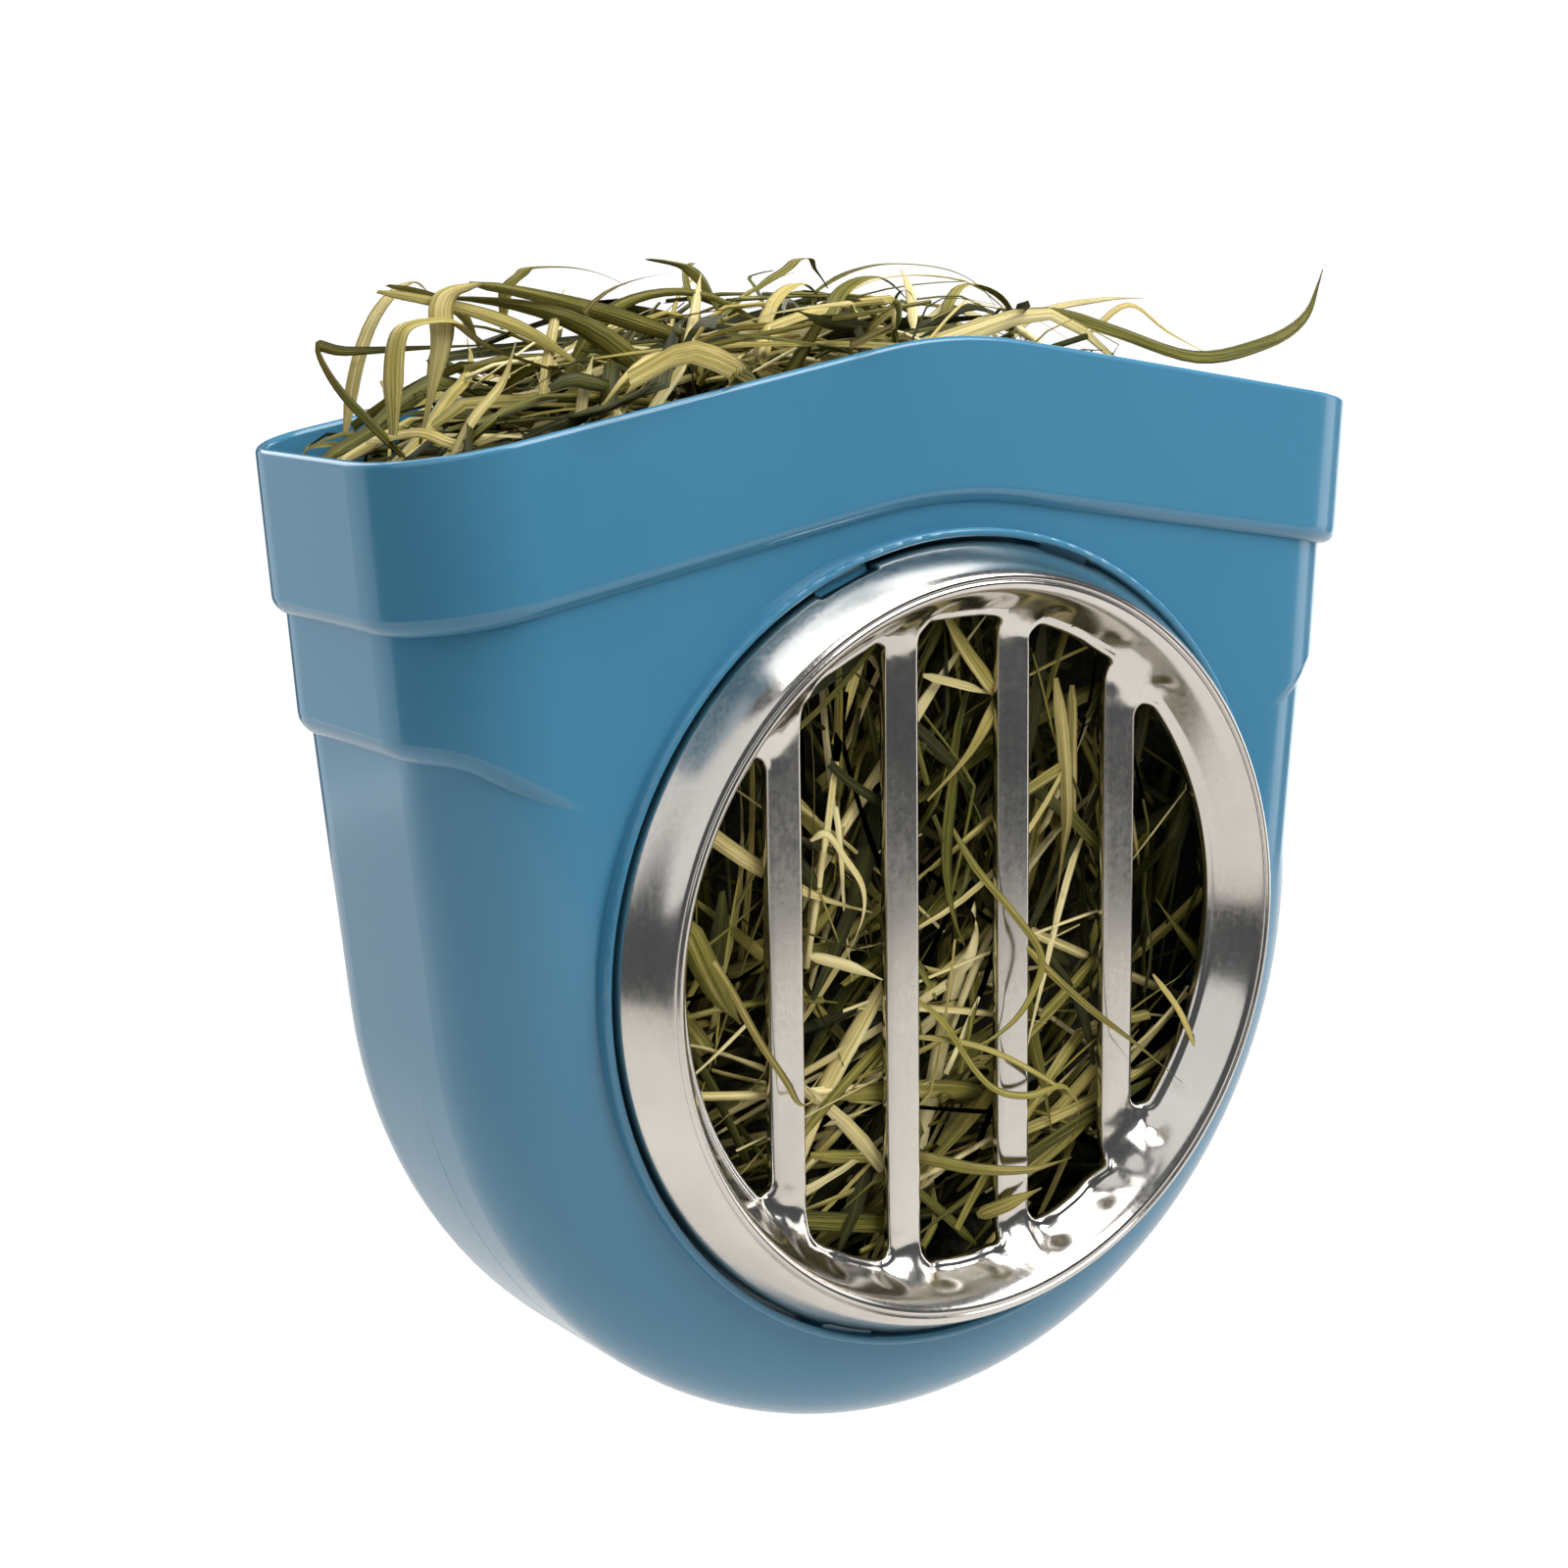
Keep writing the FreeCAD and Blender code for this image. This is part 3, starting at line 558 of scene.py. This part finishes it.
def threaded_bolt(side):
    """The CAD bolt with its shank cut to a right-hand M6 thread."""
    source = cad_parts[f"{side}_bolt"].data
    middle = sum(corner.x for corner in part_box(f"{side}_bolt")) / 2 / MM
    points = []
    for vertex in source.vertices:
        x, y, z = vertex.co / MM
        shank = y > 0 and math.hypot(x - middle, z) > ROOT
        slim = SLIM if shank else 1.0
        points.append((middle + (x - middle) * slim, y, z * slim))
    faces = [tuple(face.vertices) for face in source.polygons]
    base = len(points)
    rows = int((THREAD_TO - THREAD_FROM) / THREAD_PITCH * THREAD_STEPS) + 1
    for row in range(rows):
        y = THREAD_FROM + row * THREAD_PITCH / THREAD_STEPS
        fade = max(min(y - THREAD_FROM, THREAD_TO - y, RUNOUT) / RUNOUT, 0.0)
        for n in range(THREAD_SIDES):
            turn = n / THREAD_SIDES
            off = abs((y / THREAD_PITCH - turn) % 1.0 - 0.5)
            ridge = min(max(RIDGE_FLAT - off / RIDGE_HALF, 0.0), 1.0)
            radius = ROOT + (SHANK - ROOT) * fade * ridge
            angle = 2 * math.pi * turn
            points.append((middle + radius * math.sin(angle), y, radius * math.cos(angle)))
            if row:
                a, b = base + (row - 1) * THREAD_SIDES, base + row * THREAD_SIDES
                m = (n + 1) % THREAD_SIDES
                faces.append((a + n, a + m, b + m, b + n))
    piece = made(f"{side}_threaded_bolt", points, faces, "hopper", ZINC, f"{side}_bolt")
    piece.data.set_sharp_from_angle(angle=math.radians(40))


# ---------------------------------------------------------------- the hay

HEAP_SOFT, HEAP_REST = 60.0, 15.0
SIDE_SOFT, SIDE_REST = 108.0, 20.0
FRONT_SOFT, FRONT_REST = 66.0, 14.0
FRONT_ROUND, BACK_ROUND = 20.0, 13.0
LEAST_DEPTH = 1.5
OVER_RIM = 1.5
BACK_ROOM = 6.5
BOWL_ROOM = 97.0
LOW_LEDGE, HIGH_LEDGE = -12, 10
SIDE_SLOPE, SIDE_MIDDLE, SIDE_TOP = 0.0963, 105.0, 108.0
HOLE_R, CONE_R, SEAT_R = 66, 70, 82
HOLE_ROOM, CONE_ROOM, SEAT_ROOM, WALL_ROOM = BAR_PLANE - FLANGE - 1.0, 66.0, 62.3, 65.0
RIM_SIDE, RIM_HALF, GABLE = 41.5, 113.5, 0.169


def eased(value, start, rest):
    """Value that levels off beyond start, at start + rest."""
    over = value - start
    return start + rest * (1 - math.exp(-over / rest)) if over > 0 else value


def rim_at(x):
    """Height of the rim."""
    return min(body_high.z, RIM_SIDE + GABLE * (RIM_HALF - abs(x)))


def side_room(z):
    """Half the width between the side walls, above the round bottom."""
    if z < LOW_LEDGE:
        return BOWL_ROOM + SIDE_SLOPE * (z - AXIS_Z)
    return SIDE_MIDDLE if z < HIGH_LEDGE else SIDE_TOP


def front_room(x, z):
    """Depth of the inside of the front: the back of the bars, the cone, the grille's seat or the wall."""
    radius = math.hypot(x, z - AXIS_Z)
    if radius < HOLE_R:
        return HOLE_ROOM
    if radius < CONE_R:
        return CONE_ROOM
    return SEAT_ROOM if radius < SEAT_R else WALL_ROOM


def settled(place, gap):
    """Place moved inside the bin's walls, or left above its rim, and kept below the top of the heap."""
    x = math.copysign(eased(abs(place[0]), SIDE_SOFT, SIDE_REST), place[0])
    y = min(-eased(-place[1], FRONT_SOFT, FRONT_REST), -LEAST_DEPTH)
    z = eased(place[2], HEAP_SOFT, HEAP_REST)
    if z > rim_at(x) + OVER_RIM:
        return x, y, z
    if z < AXIS_Z:
        radius = math.hypot(x, z - AXIS_Z)
        room = BOWL_ROOM - gap - radius
        if room < 0:
            shrink = (BOWL_ROOM - gap) / radius
            x, z = x * shrink, AXIS_Z + (z - AXIS_Z) * shrink
    else:
        room = side_room(z) - gap - abs(x)
        if room < 0:
            x = math.copysign(side_room(z) - gap, x)
    room = max(room, 0.0)
    front = front_room(x, z) - 0.4 * gap
    back = BACK_ROOM
    if room < FRONT_ROUND:
        front -= FRONT_ROUND - math.sqrt(FRONT_ROUND ** 2 - (FRONT_ROUND - room) ** 2)
    if room < BACK_ROUND:
        back += BACK_ROUND - math.sqrt(BACK_ROUND ** 2 - (BACK_ROUND - room) ** 2)
    return x, min(max(y, -front), -back), z


FOLD_HEIGHT = 0.55  # of half the blade's width
STEM_SIDES = 6
CURL = 0.006  # radians per mm, times a random draw
WANDER_STEPS = 12


class Hay:
    """Blades and stems gathered into one mesh, with each one's tint, painted fold shade and place across
    and along it.
    """

    def __init__(self, seed):
        self.random = random.Random(seed)
        self.points, self.faces = [], []
        self.values = {"tint": [], "across": [], "along": [], "fold_shade": []}

    def put(self, place, gap, **values):
        """New vertex; without a gap it stays where it is."""
        self.points.append(place if gap is None else settled(place, gap))
        for name, value in values.items():
            self.values[name].append(value)

    def wander(self, start, heading, length, droop=0.0, kinks=0.2):
        """Line with gentle curls, a droop and sometimes a kink."""
        r = self.random
        place, heading = Vector(start), Vector(heading).normalized()
        curl = Vector((r.gauss(0, 1), r.gauss(0, 1), r.gauss(0, 1))) * CURL
        curl += heading.cross(Vector((0, 0, -1))) * droop
        steps = WANDER_STEPS
        kink = r.randrange(2, 10) if r.random() < kinks else steps
        line = [place]
        for n in range(steps):
            turn = curl * length / steps
            if n == kink:
                axis = Vector((r.gauss(0, 0.5), r.gauss(0, 1), r.gauss(0, 0.5))).normalized()
                turn = axis * r.uniform(0.5, 1.4)
            heading.rotate(Quaternion(turn.normalized(), turn.length))
            place = place + heading * length / steps
            line.append(place)
        return line

    def blade(self, line, width, tint, gap=None, roll=0.0, twist=0.0, blunt=False):
        """Folded ribbon along a line; it faces the front unless it is rolled or twisted."""
        last = len(line) - 1
        base = len(self.points)
        normal = Vector((-0.3, -1, 0.3))
        normal.rotate(Quaternion((line[1] - line[0]).normalized(), roll))
        run = 0.0
        for n, place in enumerate(line):
            heading = (line[min(n + 1, last)] - line[max(n - 1, 0)]).normalized()
            side = heading.cross(normal).normalized()
            normal = side.cross(heading)
            t = n / last
            taper = 1.0 if blunt else min(1.0, 0.4 + 5 * t) * (1 - 0.88 * smooth_step(0.5, 1.0, t))
            half = width * taper / 2
            run += (place - line[max(n - 1, 0)]).length
            # The last value sets the painted shade across the blade: most at the first edge, least on the
            # ridge.
            self.put(place - side * half, gap, tint=tint, across=0.0, along=run, fold_shade=0.0)
            ridge = place + normal * half * FOLD_HEIGHT
            self.put(ridge, gap, tint=tint, across=width, along=run, fold_shade=1.0)
            self.put(place + side * half, gap, tint=tint, across=2 * width, along=run, fold_shade=0.25)
            if n:
                a, b = base + 3 * n - 3, base + 3 * n
                self.faces += [(a, a + 1, b + 1, b), (a + 1, a + 2, b + 2, b + 1)]
            normal.rotate(Quaternion(heading, twist * (line[1] - line[0]).length))

    def stem(self, line, radius, tint, gap=None):
        """Round stem along a line, a little thicker at its joints."""
        sides = STEM_SIDES
        base = len(self.points)
        normal = Vector((0, -1, 0.2))
        run = 0.0
        last = len(line) - 1
        for n, place in enumerate(line):
            heading = (line[min(n + 1, last)] - line[max(n - 1, 0)]).normalized()
            side = heading.cross(normal).normalized()
            normal = side.cross(heading)
            run += (place - line[max(n - 1, 0)]).length
            thick = radius * (1.25 if n % 7 == 3 else 1.0)
            for k in range(sides):
                angle = 2 * math.pi * k / sides
                out = side * math.cos(angle) + normal * math.sin(angle)
                self.put(place + out * thick, gap, tint=tint, across=k * radius, along=run, fold_shade=0.7)
                if n:
                    a, b = base + sides * (n - 1), base + sides * n
                    m = (k + 1) % sides
                    self.faces.append((a + k, a + m, b + m, b + k))
        self.faces.append(tuple(range(base + sides - 1, base - 1, -1)))
        self.faces.append(tuple(range(base + sides * last, base + sides * (last + 1))))

    def scatter(self, line, tint):
        """A blade or, now and then, a stem of random size along a line."""
        r = self.random
        tint = min(max(tint, 0.0), 1.0)
        gap = r.uniform(0.2, 2.5)
        if r.random() < 0.2:
            self.stem(line, r.uniform(0.35, 0.9), tint + 0.15, gap + 1)
            return
        width = 0.6 + 3.9 * r.random() ** 2
        self.blade(line, width, tint, gap, r.gauss(0, 0.7), r.gauss(0, 0.014), r.random() < 0.3)

    def finish(self, name, body):
        """Make the mesh, which rides on a body."""
        piece = made(name, self.points, self.faces, body, HAY)
        for key, values in self.values.items():
            layer = piece.data.attributes.new(key, "FLOAT", "POINT")
            layer.data.foreach_set("value", values)


def through(points, steps=5):
    """Smooth line through a few points."""
    knots = [Vector(point) for point in points]
    knots = [2 * knots[0] - knots[1]] + knots + [2 * knots[-1] - knots[-2]]
    line = [knots[1]]
    for a, b, c, d in zip(knots, knots[1:], knots[2:], knots[3:]):
        for n in range(1, steps + 1):
            t = n / steps
            bent = (2 * a - 5 * b + 4 * c - d) * t * t + (3 * b - a - 3 * c + d) * t ** 3
            line.append((2 * b + (c - a) * t + bent) / 2)
    return line


# The heap's outline from left to right, as (x, z).
HEAP_TOP = [(-108, 33), (-95, 39), (-85, 46), (-62, 55), (-38, 61), (-12, 63), (10, 62), (30, 57),
            (44, 48), (56, 40), (110, 31)]
FRONT_BLADES, HEAP_BLADES, STRAYS = 600, 580, 75


def heap_top(x):
    """Height of the heap."""
    x = min(max(x, HEAP_TOP[0][0]), HEAP_TOP[-1][0])
    for (x0, z0), (x1, z1) in zip(HEAP_TOP, HEAP_TOP[1:]):
        if x <= x1:
            return z0 + (z1 - z0) * (x - x0) / (x1 - x0)


def hay_front():
    """Hay behind the bars: steep and green above, chunky and paler below."""
    hay = Hay(11)
    r = hay.random
    for _ in range(FRONT_BLADES):
        x, z = r.uniform(-66, 66), r.uniform(-66, 66)
        if math.hypot(x, z) > 68:
            continue
        lower = 1 - smooth_step(-22, 12, z + 8 * r.gauss(0, 1))
        slope = math.radians(r.gauss(22, 24) if r.random() < lower else r.gauss(82, 32))
        heading = Vector((math.cos(slope), r.gauss(0, 0.12), math.sin(slope))) * r.choice((-1, 1))
        length = r.uniform(28, 75)
        depth = r.uniform(48, 69)
        middle = Vector((x, -depth, z + AXIS_Z))
        line = hay.wander(middle - heading * length / 2, heading, length)
        # Painted shade: blades further back get a darker tint.
        shaded = 1 - smooth_step(54, 67, depth)
        hay.scatter(line, r.gauss(0.46 + 0.22 * lower, 0.31) - 0.62 * shaded)
    hay.finish("hay_front", "hopper")


def hay_heap():
    """Heap in the mouth of the bin: mostly long blades from side to side, and strays that stand up."""
    hay = Hay(5)
    r = hay.random
    for _ in range(HEAP_BLADES):
        x = r.uniform(-96, 80)
        top = heap_top(x)
        z = top - 26 * r.random() ** 1.3
        slope = r.gauss(0.05, 0.16)
        swing = r.gauss(0, 0.35)
        if r.random() < 0.16:
            slope, swing = r.gauss(0, 0.9), r.gauss(0, 1.2)
        heading = Vector((math.cos(swing), math.sin(swing), slope)) * r.choice((-1, 1))
        length = r.uniform(35, 95)
        droop = r.uniform(0.0, 0.009)
        heading.z += droop * length / 2
        middle = Vector((x, -r.uniform(5, 66), z))
        line = hay.wander(middle - heading.normalized() * length / 2, heading, length, droop)
        line = [Vector((p.x, p.y, min(p.z, heap_top(p.x) + 5))) for p in line]
        # Painted shade: blades deeper under the heap's top get a darker tint.
        hay.scatter(line, r.gauss(0.50, 0.34) - 0.85 * smooth_step(2, 15, top - z))
    for _ in range(STRAYS):
        x = r.triangular(-84, 36, -50)
        turn = r.gauss(0, 0.7) + r.choice((0, math.pi))
        heading = Vector((math.cos(turn), math.sin(turn), r.uniform(0.2, 1.3)))
        start = Vector((x, -r.uniform(12, 58), heap_top(x) - r.uniform(4, 12)))
        line = hay.wander(start, heading, r.uniform(30, 75), r.uniform(0.02, 0.06), 0.5)
        hay.scatter(line, r.gauss(0.5, 0.28))
    hay.finish("hay_heap", "hopper")


# Blades that stand out, each with its width, tint and points in millimetres. Most follow the photograph:
# places on it were read, converted at an assumed depth, then rounded and adjusted.
LOOSE = [
    (4.6, 0.42, [(-87, -45, 79), (-79, -45, 75), (-69, -45, 70), (-55, -45, 64), (-42, -45, 59),
                 (-33, -45, 53)]),
    (4.4, 0.72, [(-87, -50, 79), (-93, -50, 75), (-95, -50, 69), (-95, -50, 62), (-97, -50, 54),
                 (-100, -50, 44)]),
    (3.8, 0.60, [(-106, -48, 76), (-97, -48, 72), (-84, -48, 66), (-73, -48, 60), (-64, -48, 54)]),
    (3.0, 0.50, [(-102, -44, 79), (-95, -44, 74), (-88, -44, 67), (-84, -44, 58)]),
    (2.4, 0.85, [(-109, -40, 46), (-106, -40, 58), (-100, -40, 72), (-95, -40, 80), (-92, -40, 74)]),
    (2.2, 0.25, [(-99, -45, 40), (-107, -45, 48), (-115, -45, 56), (-118, -45, 61), (-111, -45, 60),
                 (-96, -45, 60), (-79, -45, 60)]),
    (2.6, 0.38, [(-72, -30, 62), (-71, -30, 74), (-68, -30, 82), (-66, -30, 88), (-59, -30, 88),
                 (-53, -30, 83), (-46, -30, 74)]),
    (3.6, 0.35, [(-46, -38, 100), (-43, -38, 94), (-38, -38, 86), (-35, -38, 77), (-32, -38, 68),
                 (-28, -38, 58)]),
    (2.8, 0.40, [(-17, -30, 70), (-10, -30, 80), (-7, -30, 90), (-4, -30, 90), (-3, -30, 80),
                 (0, -30, 70)]),
    (1.8, 0.25, [(0, -25, 68), (10, -25, 78), (19, -25, 82), (31, -25, 78), (41, -25, 69),
                 (47, -25, 60)]),
    (3.0, 0.30, [(35, -40, 62), (50, -40, 61), (65, -40, 57), (87, -40, 51), (106, -40, 53),
                 (124, -40, 59), (132, -40, 66), (137, -40, 72)]),
    (1.4, 0.75, [(66, -30, 56), (77, -30, 62), (88, -30, 56), (104, -30, 49)]),
    (1.6, 0.88, [(48, -20, 50), (60, -20, 60), (78, -20, 63), (90, -20, 63)]),
    (2.2, 0.95, [(-74, -58, 42), (-72, -58, 52), (-70, -58, 58)]),
    (2.0, 0.95, [(-60, -58, 46), (-53, -58, 54), (-50, -58, 57)]),
    (3.6, 0.66, [(-106, -52, 46), (-105, -52, 60), (-102, -52, 65), (-94, -52, 65), (-87, -52, 60),
                 (-70, -52, 54)]),
    (1.8, 0.80, [(-98, -56, 40), (-93, -56, 48), (-87, -56, 54), (-84, -56, 61)]),
    (2.4, 0.70, [(-105, -40, 44), (-100, -50, 46), (-95, -55, 44), (-88, -59, 46)]),
    (2.0, 0.85, [(-76, -50, 50), (-71, -46, 62), (-66, -42, 74)]),
    (3.4, 0.40, [(-66, -42, 54), (-54, -42, 68), (-40, -44, 71), (-24, -50, 58)]),
    (2.2, 0.92, [(-46, -50, 56), (-41, -46, 66), (-37, -42, 80)]),
    (2.8, 0.75, [(-32, -52, 56), (-24, -47, 68), (-14, -41, 73), (-4, -34, 66)]),
    (3.2, 0.30, [(-18, -54, 60), (-9, -48, 71), (3, -42, 75), (16, -36, 64)]),
    (2.0, 0.95, [(4, -52, 60), (8, -46, 68), (10, -40, 80)]),
    (2.6, 0.50, [(18, -42, 60), (27, -38, 70), (39, -34, 66), (50, -30, 55)]),
]

# Blades between and in front of the bars, in the same form.
CAUGHT = [
    (5.2, 0.45, [(-62, -70, -41), (-59, -72, -49), (-55, -73, -57), (-51, -72, -62)]),
    (1.6, 0.62, [(-62, -70, -42), (-56, -74, -52), (-50, -76, -64), (-44, -76, -73), (-41, -76, -78),
                 (-37, -75, -78), (-38, -74, -76)]),
    (2.2, 0.98, [(-35, -71, -52), (-27, -72, -55), (-19, -72, -59)]),
    (1.5, 0.50, [(1, -66, -32), (4, -71, -41), (10, -75, -50), (16, -76, -59), (14, -76, -66),
                 (9, -75, -72), (2, -72, -76), (-3, -68, -74)]),
    (1.6, 0.48, [(-10, -68, -64), (-4, -71, -70), (2, -73, -80), (7, -74, -85), (14, -75, -87),
                 (23, -74, -87), (28, -73, -92), (29, -71, -98), (28, -68, -104)]),
    (1.3, 0.55, [(-12, -68, -72), (-2, -71, -74), (6, -74, -77), (16, -75, -83), (25, -73, -89),
                 (31, -69, -93)]),
    (1.5, 0.58, [(15, -71, -57), (22, -73, -65), (30, -76, -73), (40, -77, -81), (52, -77, -91)]),
    (2.6, 0.50, [(-34, -69, -91), (-27, -68, -93), (-19, -66.5, -95), (-8, -68, -97), (2, -73, -100),
                 (13, -75, -102), (22, -73, -103), (29, -70, -104)]),
    (3.2, 0.52, [(5, -70, -111), (10, -73, -109), (18, -74, -107)]),
    (3.8, 0.62, [(-3, -69, 10), (3, -69, 1), (8, -69, -5), (12, -68, -9), (8, -69, -14), (3, -69, -20),
                 (-6, -69, -27)]),
    (1.8, 0.90, [(-7, -69, -3), (3, -69, -6), (12, -68, -9)]),
    (2.6, 0.78, [(26, -68, -7), (28, -68, -20), (29, -68, -34), (28, -68, -42), (25, -68, -59)]),
    (2.2, 0.70, [(31, -67, -9), (31, -67, -25), (32, -67, -39)]),
    (1.5, 0.88, [(-33, -69, -31), (-30, -70, -30), (-26, -70, -35), (-22, -70, -41), (-22, -70, -47),
                 (-25, -69, -54)]),
    (1.4, 0.66, [(51, -69, -70), (55, -72, -77), (57, -74, -83), (58, -75, -87)]),
]


def loose_blades(name, seed, blades, body, gap=None):
    """Blades along given lines; with a gap they are kept within the bin's limits."""
    hay = Hay(seed)
    for width, tint, points in blades:
        roll = hay.random.gauss(0, 0.35)
        twist = hay.random.gauss(0, 0.012)
        hay.blade(through(points), width, tint, gap, roll, twist)
    hay.finish(name, body)


CORE_CENTRE = Vector((0, -34, -30))
CORE_REACH, CORE_GAP, CORE_UNDER_TOP = 220.0, 8.0, 13
CORE_FRONT, CORE_BACK = -54, -10


def hay_shade_core():
    """Dark lump inside the hay, painted shade that closes the gaps between the blades."""
    shape = bmesh.new()
    bmesh.ops.create_icosphere(shape, subdivisions=5, radius=1.0)
    points = []
    for vertex in shape.verts:
        near, far = 0.0, CORE_REACH
        for _ in range(16):
            reach = (near + far) / 2
            place = CORE_CENTRE + vertex.co * reach
            kept = Vector(settled(place, CORE_GAP))
            kept.y = min(max(kept.y, CORE_FRONT), CORE_BACK)
            free = (kept - place).length < 1e-3 and place.z < heap_top(place.x) - CORE_UNDER_TOP
            near, far = (reach, far) if free else (near, reach)
        lump = noise.noise(vertex.co * 9) * 3 + noise.noise(vertex.co * 27) * 1.6
        points.append(CORE_CENTRE + vertex.co * (near - 3 + lump))
    faces = [[v.index for v in face.verts] for face in shape.faces]
    shape.free()
    made("hay_shade_core", points, faces, "hopper", PAINTED_HAY_SHADE)


moulding()
grille()
threaded_bolt("left")
threaded_bolt("right")
hay_shade_core()
hay_front()
hay_heap()
loose_blades("hay_loose", 3, LOOSE, "hopper", gap=0.3)
loose_blades("hay_caught", 8, CAUGHT, "grille")

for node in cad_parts.values():
    if not node.hide_render:
        node.data.materials.clear()
        node.data.materials.append(ZINC)

# ---------------------------------------------------------------- camera, floor and lights

LOOK_AT = Vector((-0.0404, -0.0715, -0.0191))
DISTANCE = 0.5206
YAW, PITCH, ROLL_ANGLE = math.radians(34.48), math.radians(11.27), math.radians(-0.79)
LENS = 66.33
LIT_POINT = Vector((0, 0, -0.04))
FLOOR_RADIUS, FLOOR_DROP = 0.95, 0.12


def camera():
    """Camera in front of the feeder's left side, a little above it."""
    ahead = Vector((math.sin(YAW) * math.cos(PITCH), math.cos(YAW) * math.cos(PITCH), -math.sin(PITCH)))
    right = Vector((math.cos(YAW), -math.sin(YAW), 0))
    up = right.cross(ahead)
    across = right * math.cos(ROLL_ANGLE) + up * math.sin(ROLL_ANGLE)
    upright = up * math.cos(ROLL_ANGLE) - right * math.sin(ROLL_ANGLE)
    data = bpy.data.cameras.new("camera")
    data.lens = LENS
    data.sensor_width = 36
    data.clip_start = 0.01
    stand = bpy.data.objects.new("camera", data)
    turn = Matrix((across, upright, -ahead)).transposed()
    stand.matrix_world = Matrix.Translation(LOOK_AT - ahead * DISTANCE) @ turn.to_4x4()
    bpy.context.collection.objects.link(stand)
    bpy.context.scene.camera = stand


def light(name, azimuth, elevation, distance, size, power, colour=(1, 1, 1)):
    """Soft light in a direction seen from the feeder: azimuth 0 is in front of it, and 90 left of it."""
    a, e = math.radians(azimuth), math.radians(elevation)
    place = Vector((-math.sin(a) * math.cos(e), -math.cos(a) * math.cos(e), math.sin(e))) * distance
    data = bpy.data.lights.new(name, "AREA")
    data.shape = "RECTANGLE"
    data.size, data.size_y = size
    data.energy = power
    data.color = colour
    lamp = bpy.data.objects.new(name, data)
    lamp.location = place + LIT_POINT
    lamp.rotation_mode = "QUATERNION"
    lamp.rotation_quaternion = (-place).to_track_quat("-Z", "Y")
    bpy.context.collection.objects.link(lamp)


def floor():
    """Plain pale floor, well below the hanging feeder."""
    m = Nodes("floor")
    seen = m.add("ShaderNodeLightPath").outputs["Is Camera Ray"]
    glow = m.mix(seen, (1, 0.94, 0.86, 1), (1, 1, 1, 1))
    m.set(Base_Color=(0.3, 0.3, 0.3, 1), Roughness=0.9, Emission_Color=glow)
    m.set(Emission_Strength=m.span(seen, 0.52, 1.0))
    turns = [math.radians(5 * n) for n in range(72)]
    points = [(FLOOR_RADIUS * math.cos(turn), FLOOR_RADIUS * math.sin(turn), 0) for turn in turns]
    mesh = bpy.data.meshes.new("floor")
    mesh.from_pydata(points, [], [range(len(points))])
    mesh.materials.append(m.material)
    ground = bpy.data.objects.new("floor", mesh)
    ground.location.z = body_low.z * MM - FLOOR_DROP
    bpy.context.collection.objects.link(ground)


def studio():
    """White surroundings, seen plainly by the camera and much more dimly in reflections."""
    world = bpy.data.worlds.new("studio")
    bpy.context.scene.world = world
    world.use_nodes = True
    tree = world.node_tree
    dim = tree.nodes["Background"]
    dim.inputs["Color"].default_value = (0.85, 0.93, 1.0, 1)
    dim.inputs["Strength"].default_value = 0.1
    white = tree.nodes.new("ShaderNodeBackground")
    white.inputs["Color"].default_value = (1, 1, 1, 1)
    white.inputs["Strength"].default_value = 1.05
    ray = tree.nodes.new("ShaderNodeLightPath")
    mix = tree.nodes.new("ShaderNodeMixShader")
    tree.links.new(ray.outputs["Is Camera Ray"], mix.inputs["Fac"])
    tree.links.new(dim.outputs["Background"], mix.inputs[1])
    tree.links.new(white.outputs["Background"], mix.inputs[2])
    tree.links.new(mix.outputs["Shader"], tree.nodes["World Output"].inputs["Surface"])
    bpy.context.scene.view_settings.view_transform = "Standard"


camera()
floor()
studio()
light("key", -30, 48, 1.2, (0.8, 0.8), 14.5)
light("front_left", 66, 34, 1.1, (1.1, 1.05), 2.9)
light("left_box", 145, 6, 0.85, (0.9, 0.75), 2.1, (0.78, 0.92, 1.0))
light("right_box", -116, 4, 1.0, (0.7, 0.8), 4.5)
light("right_strip", -72, 3, 1.0, (0.3, 0.6), 0.9)
light("top", 0, 84, 1.2, (0.9, 0.5), 7)
light("back", 170, 40, 1.2, (0.8, 0.8), 6)
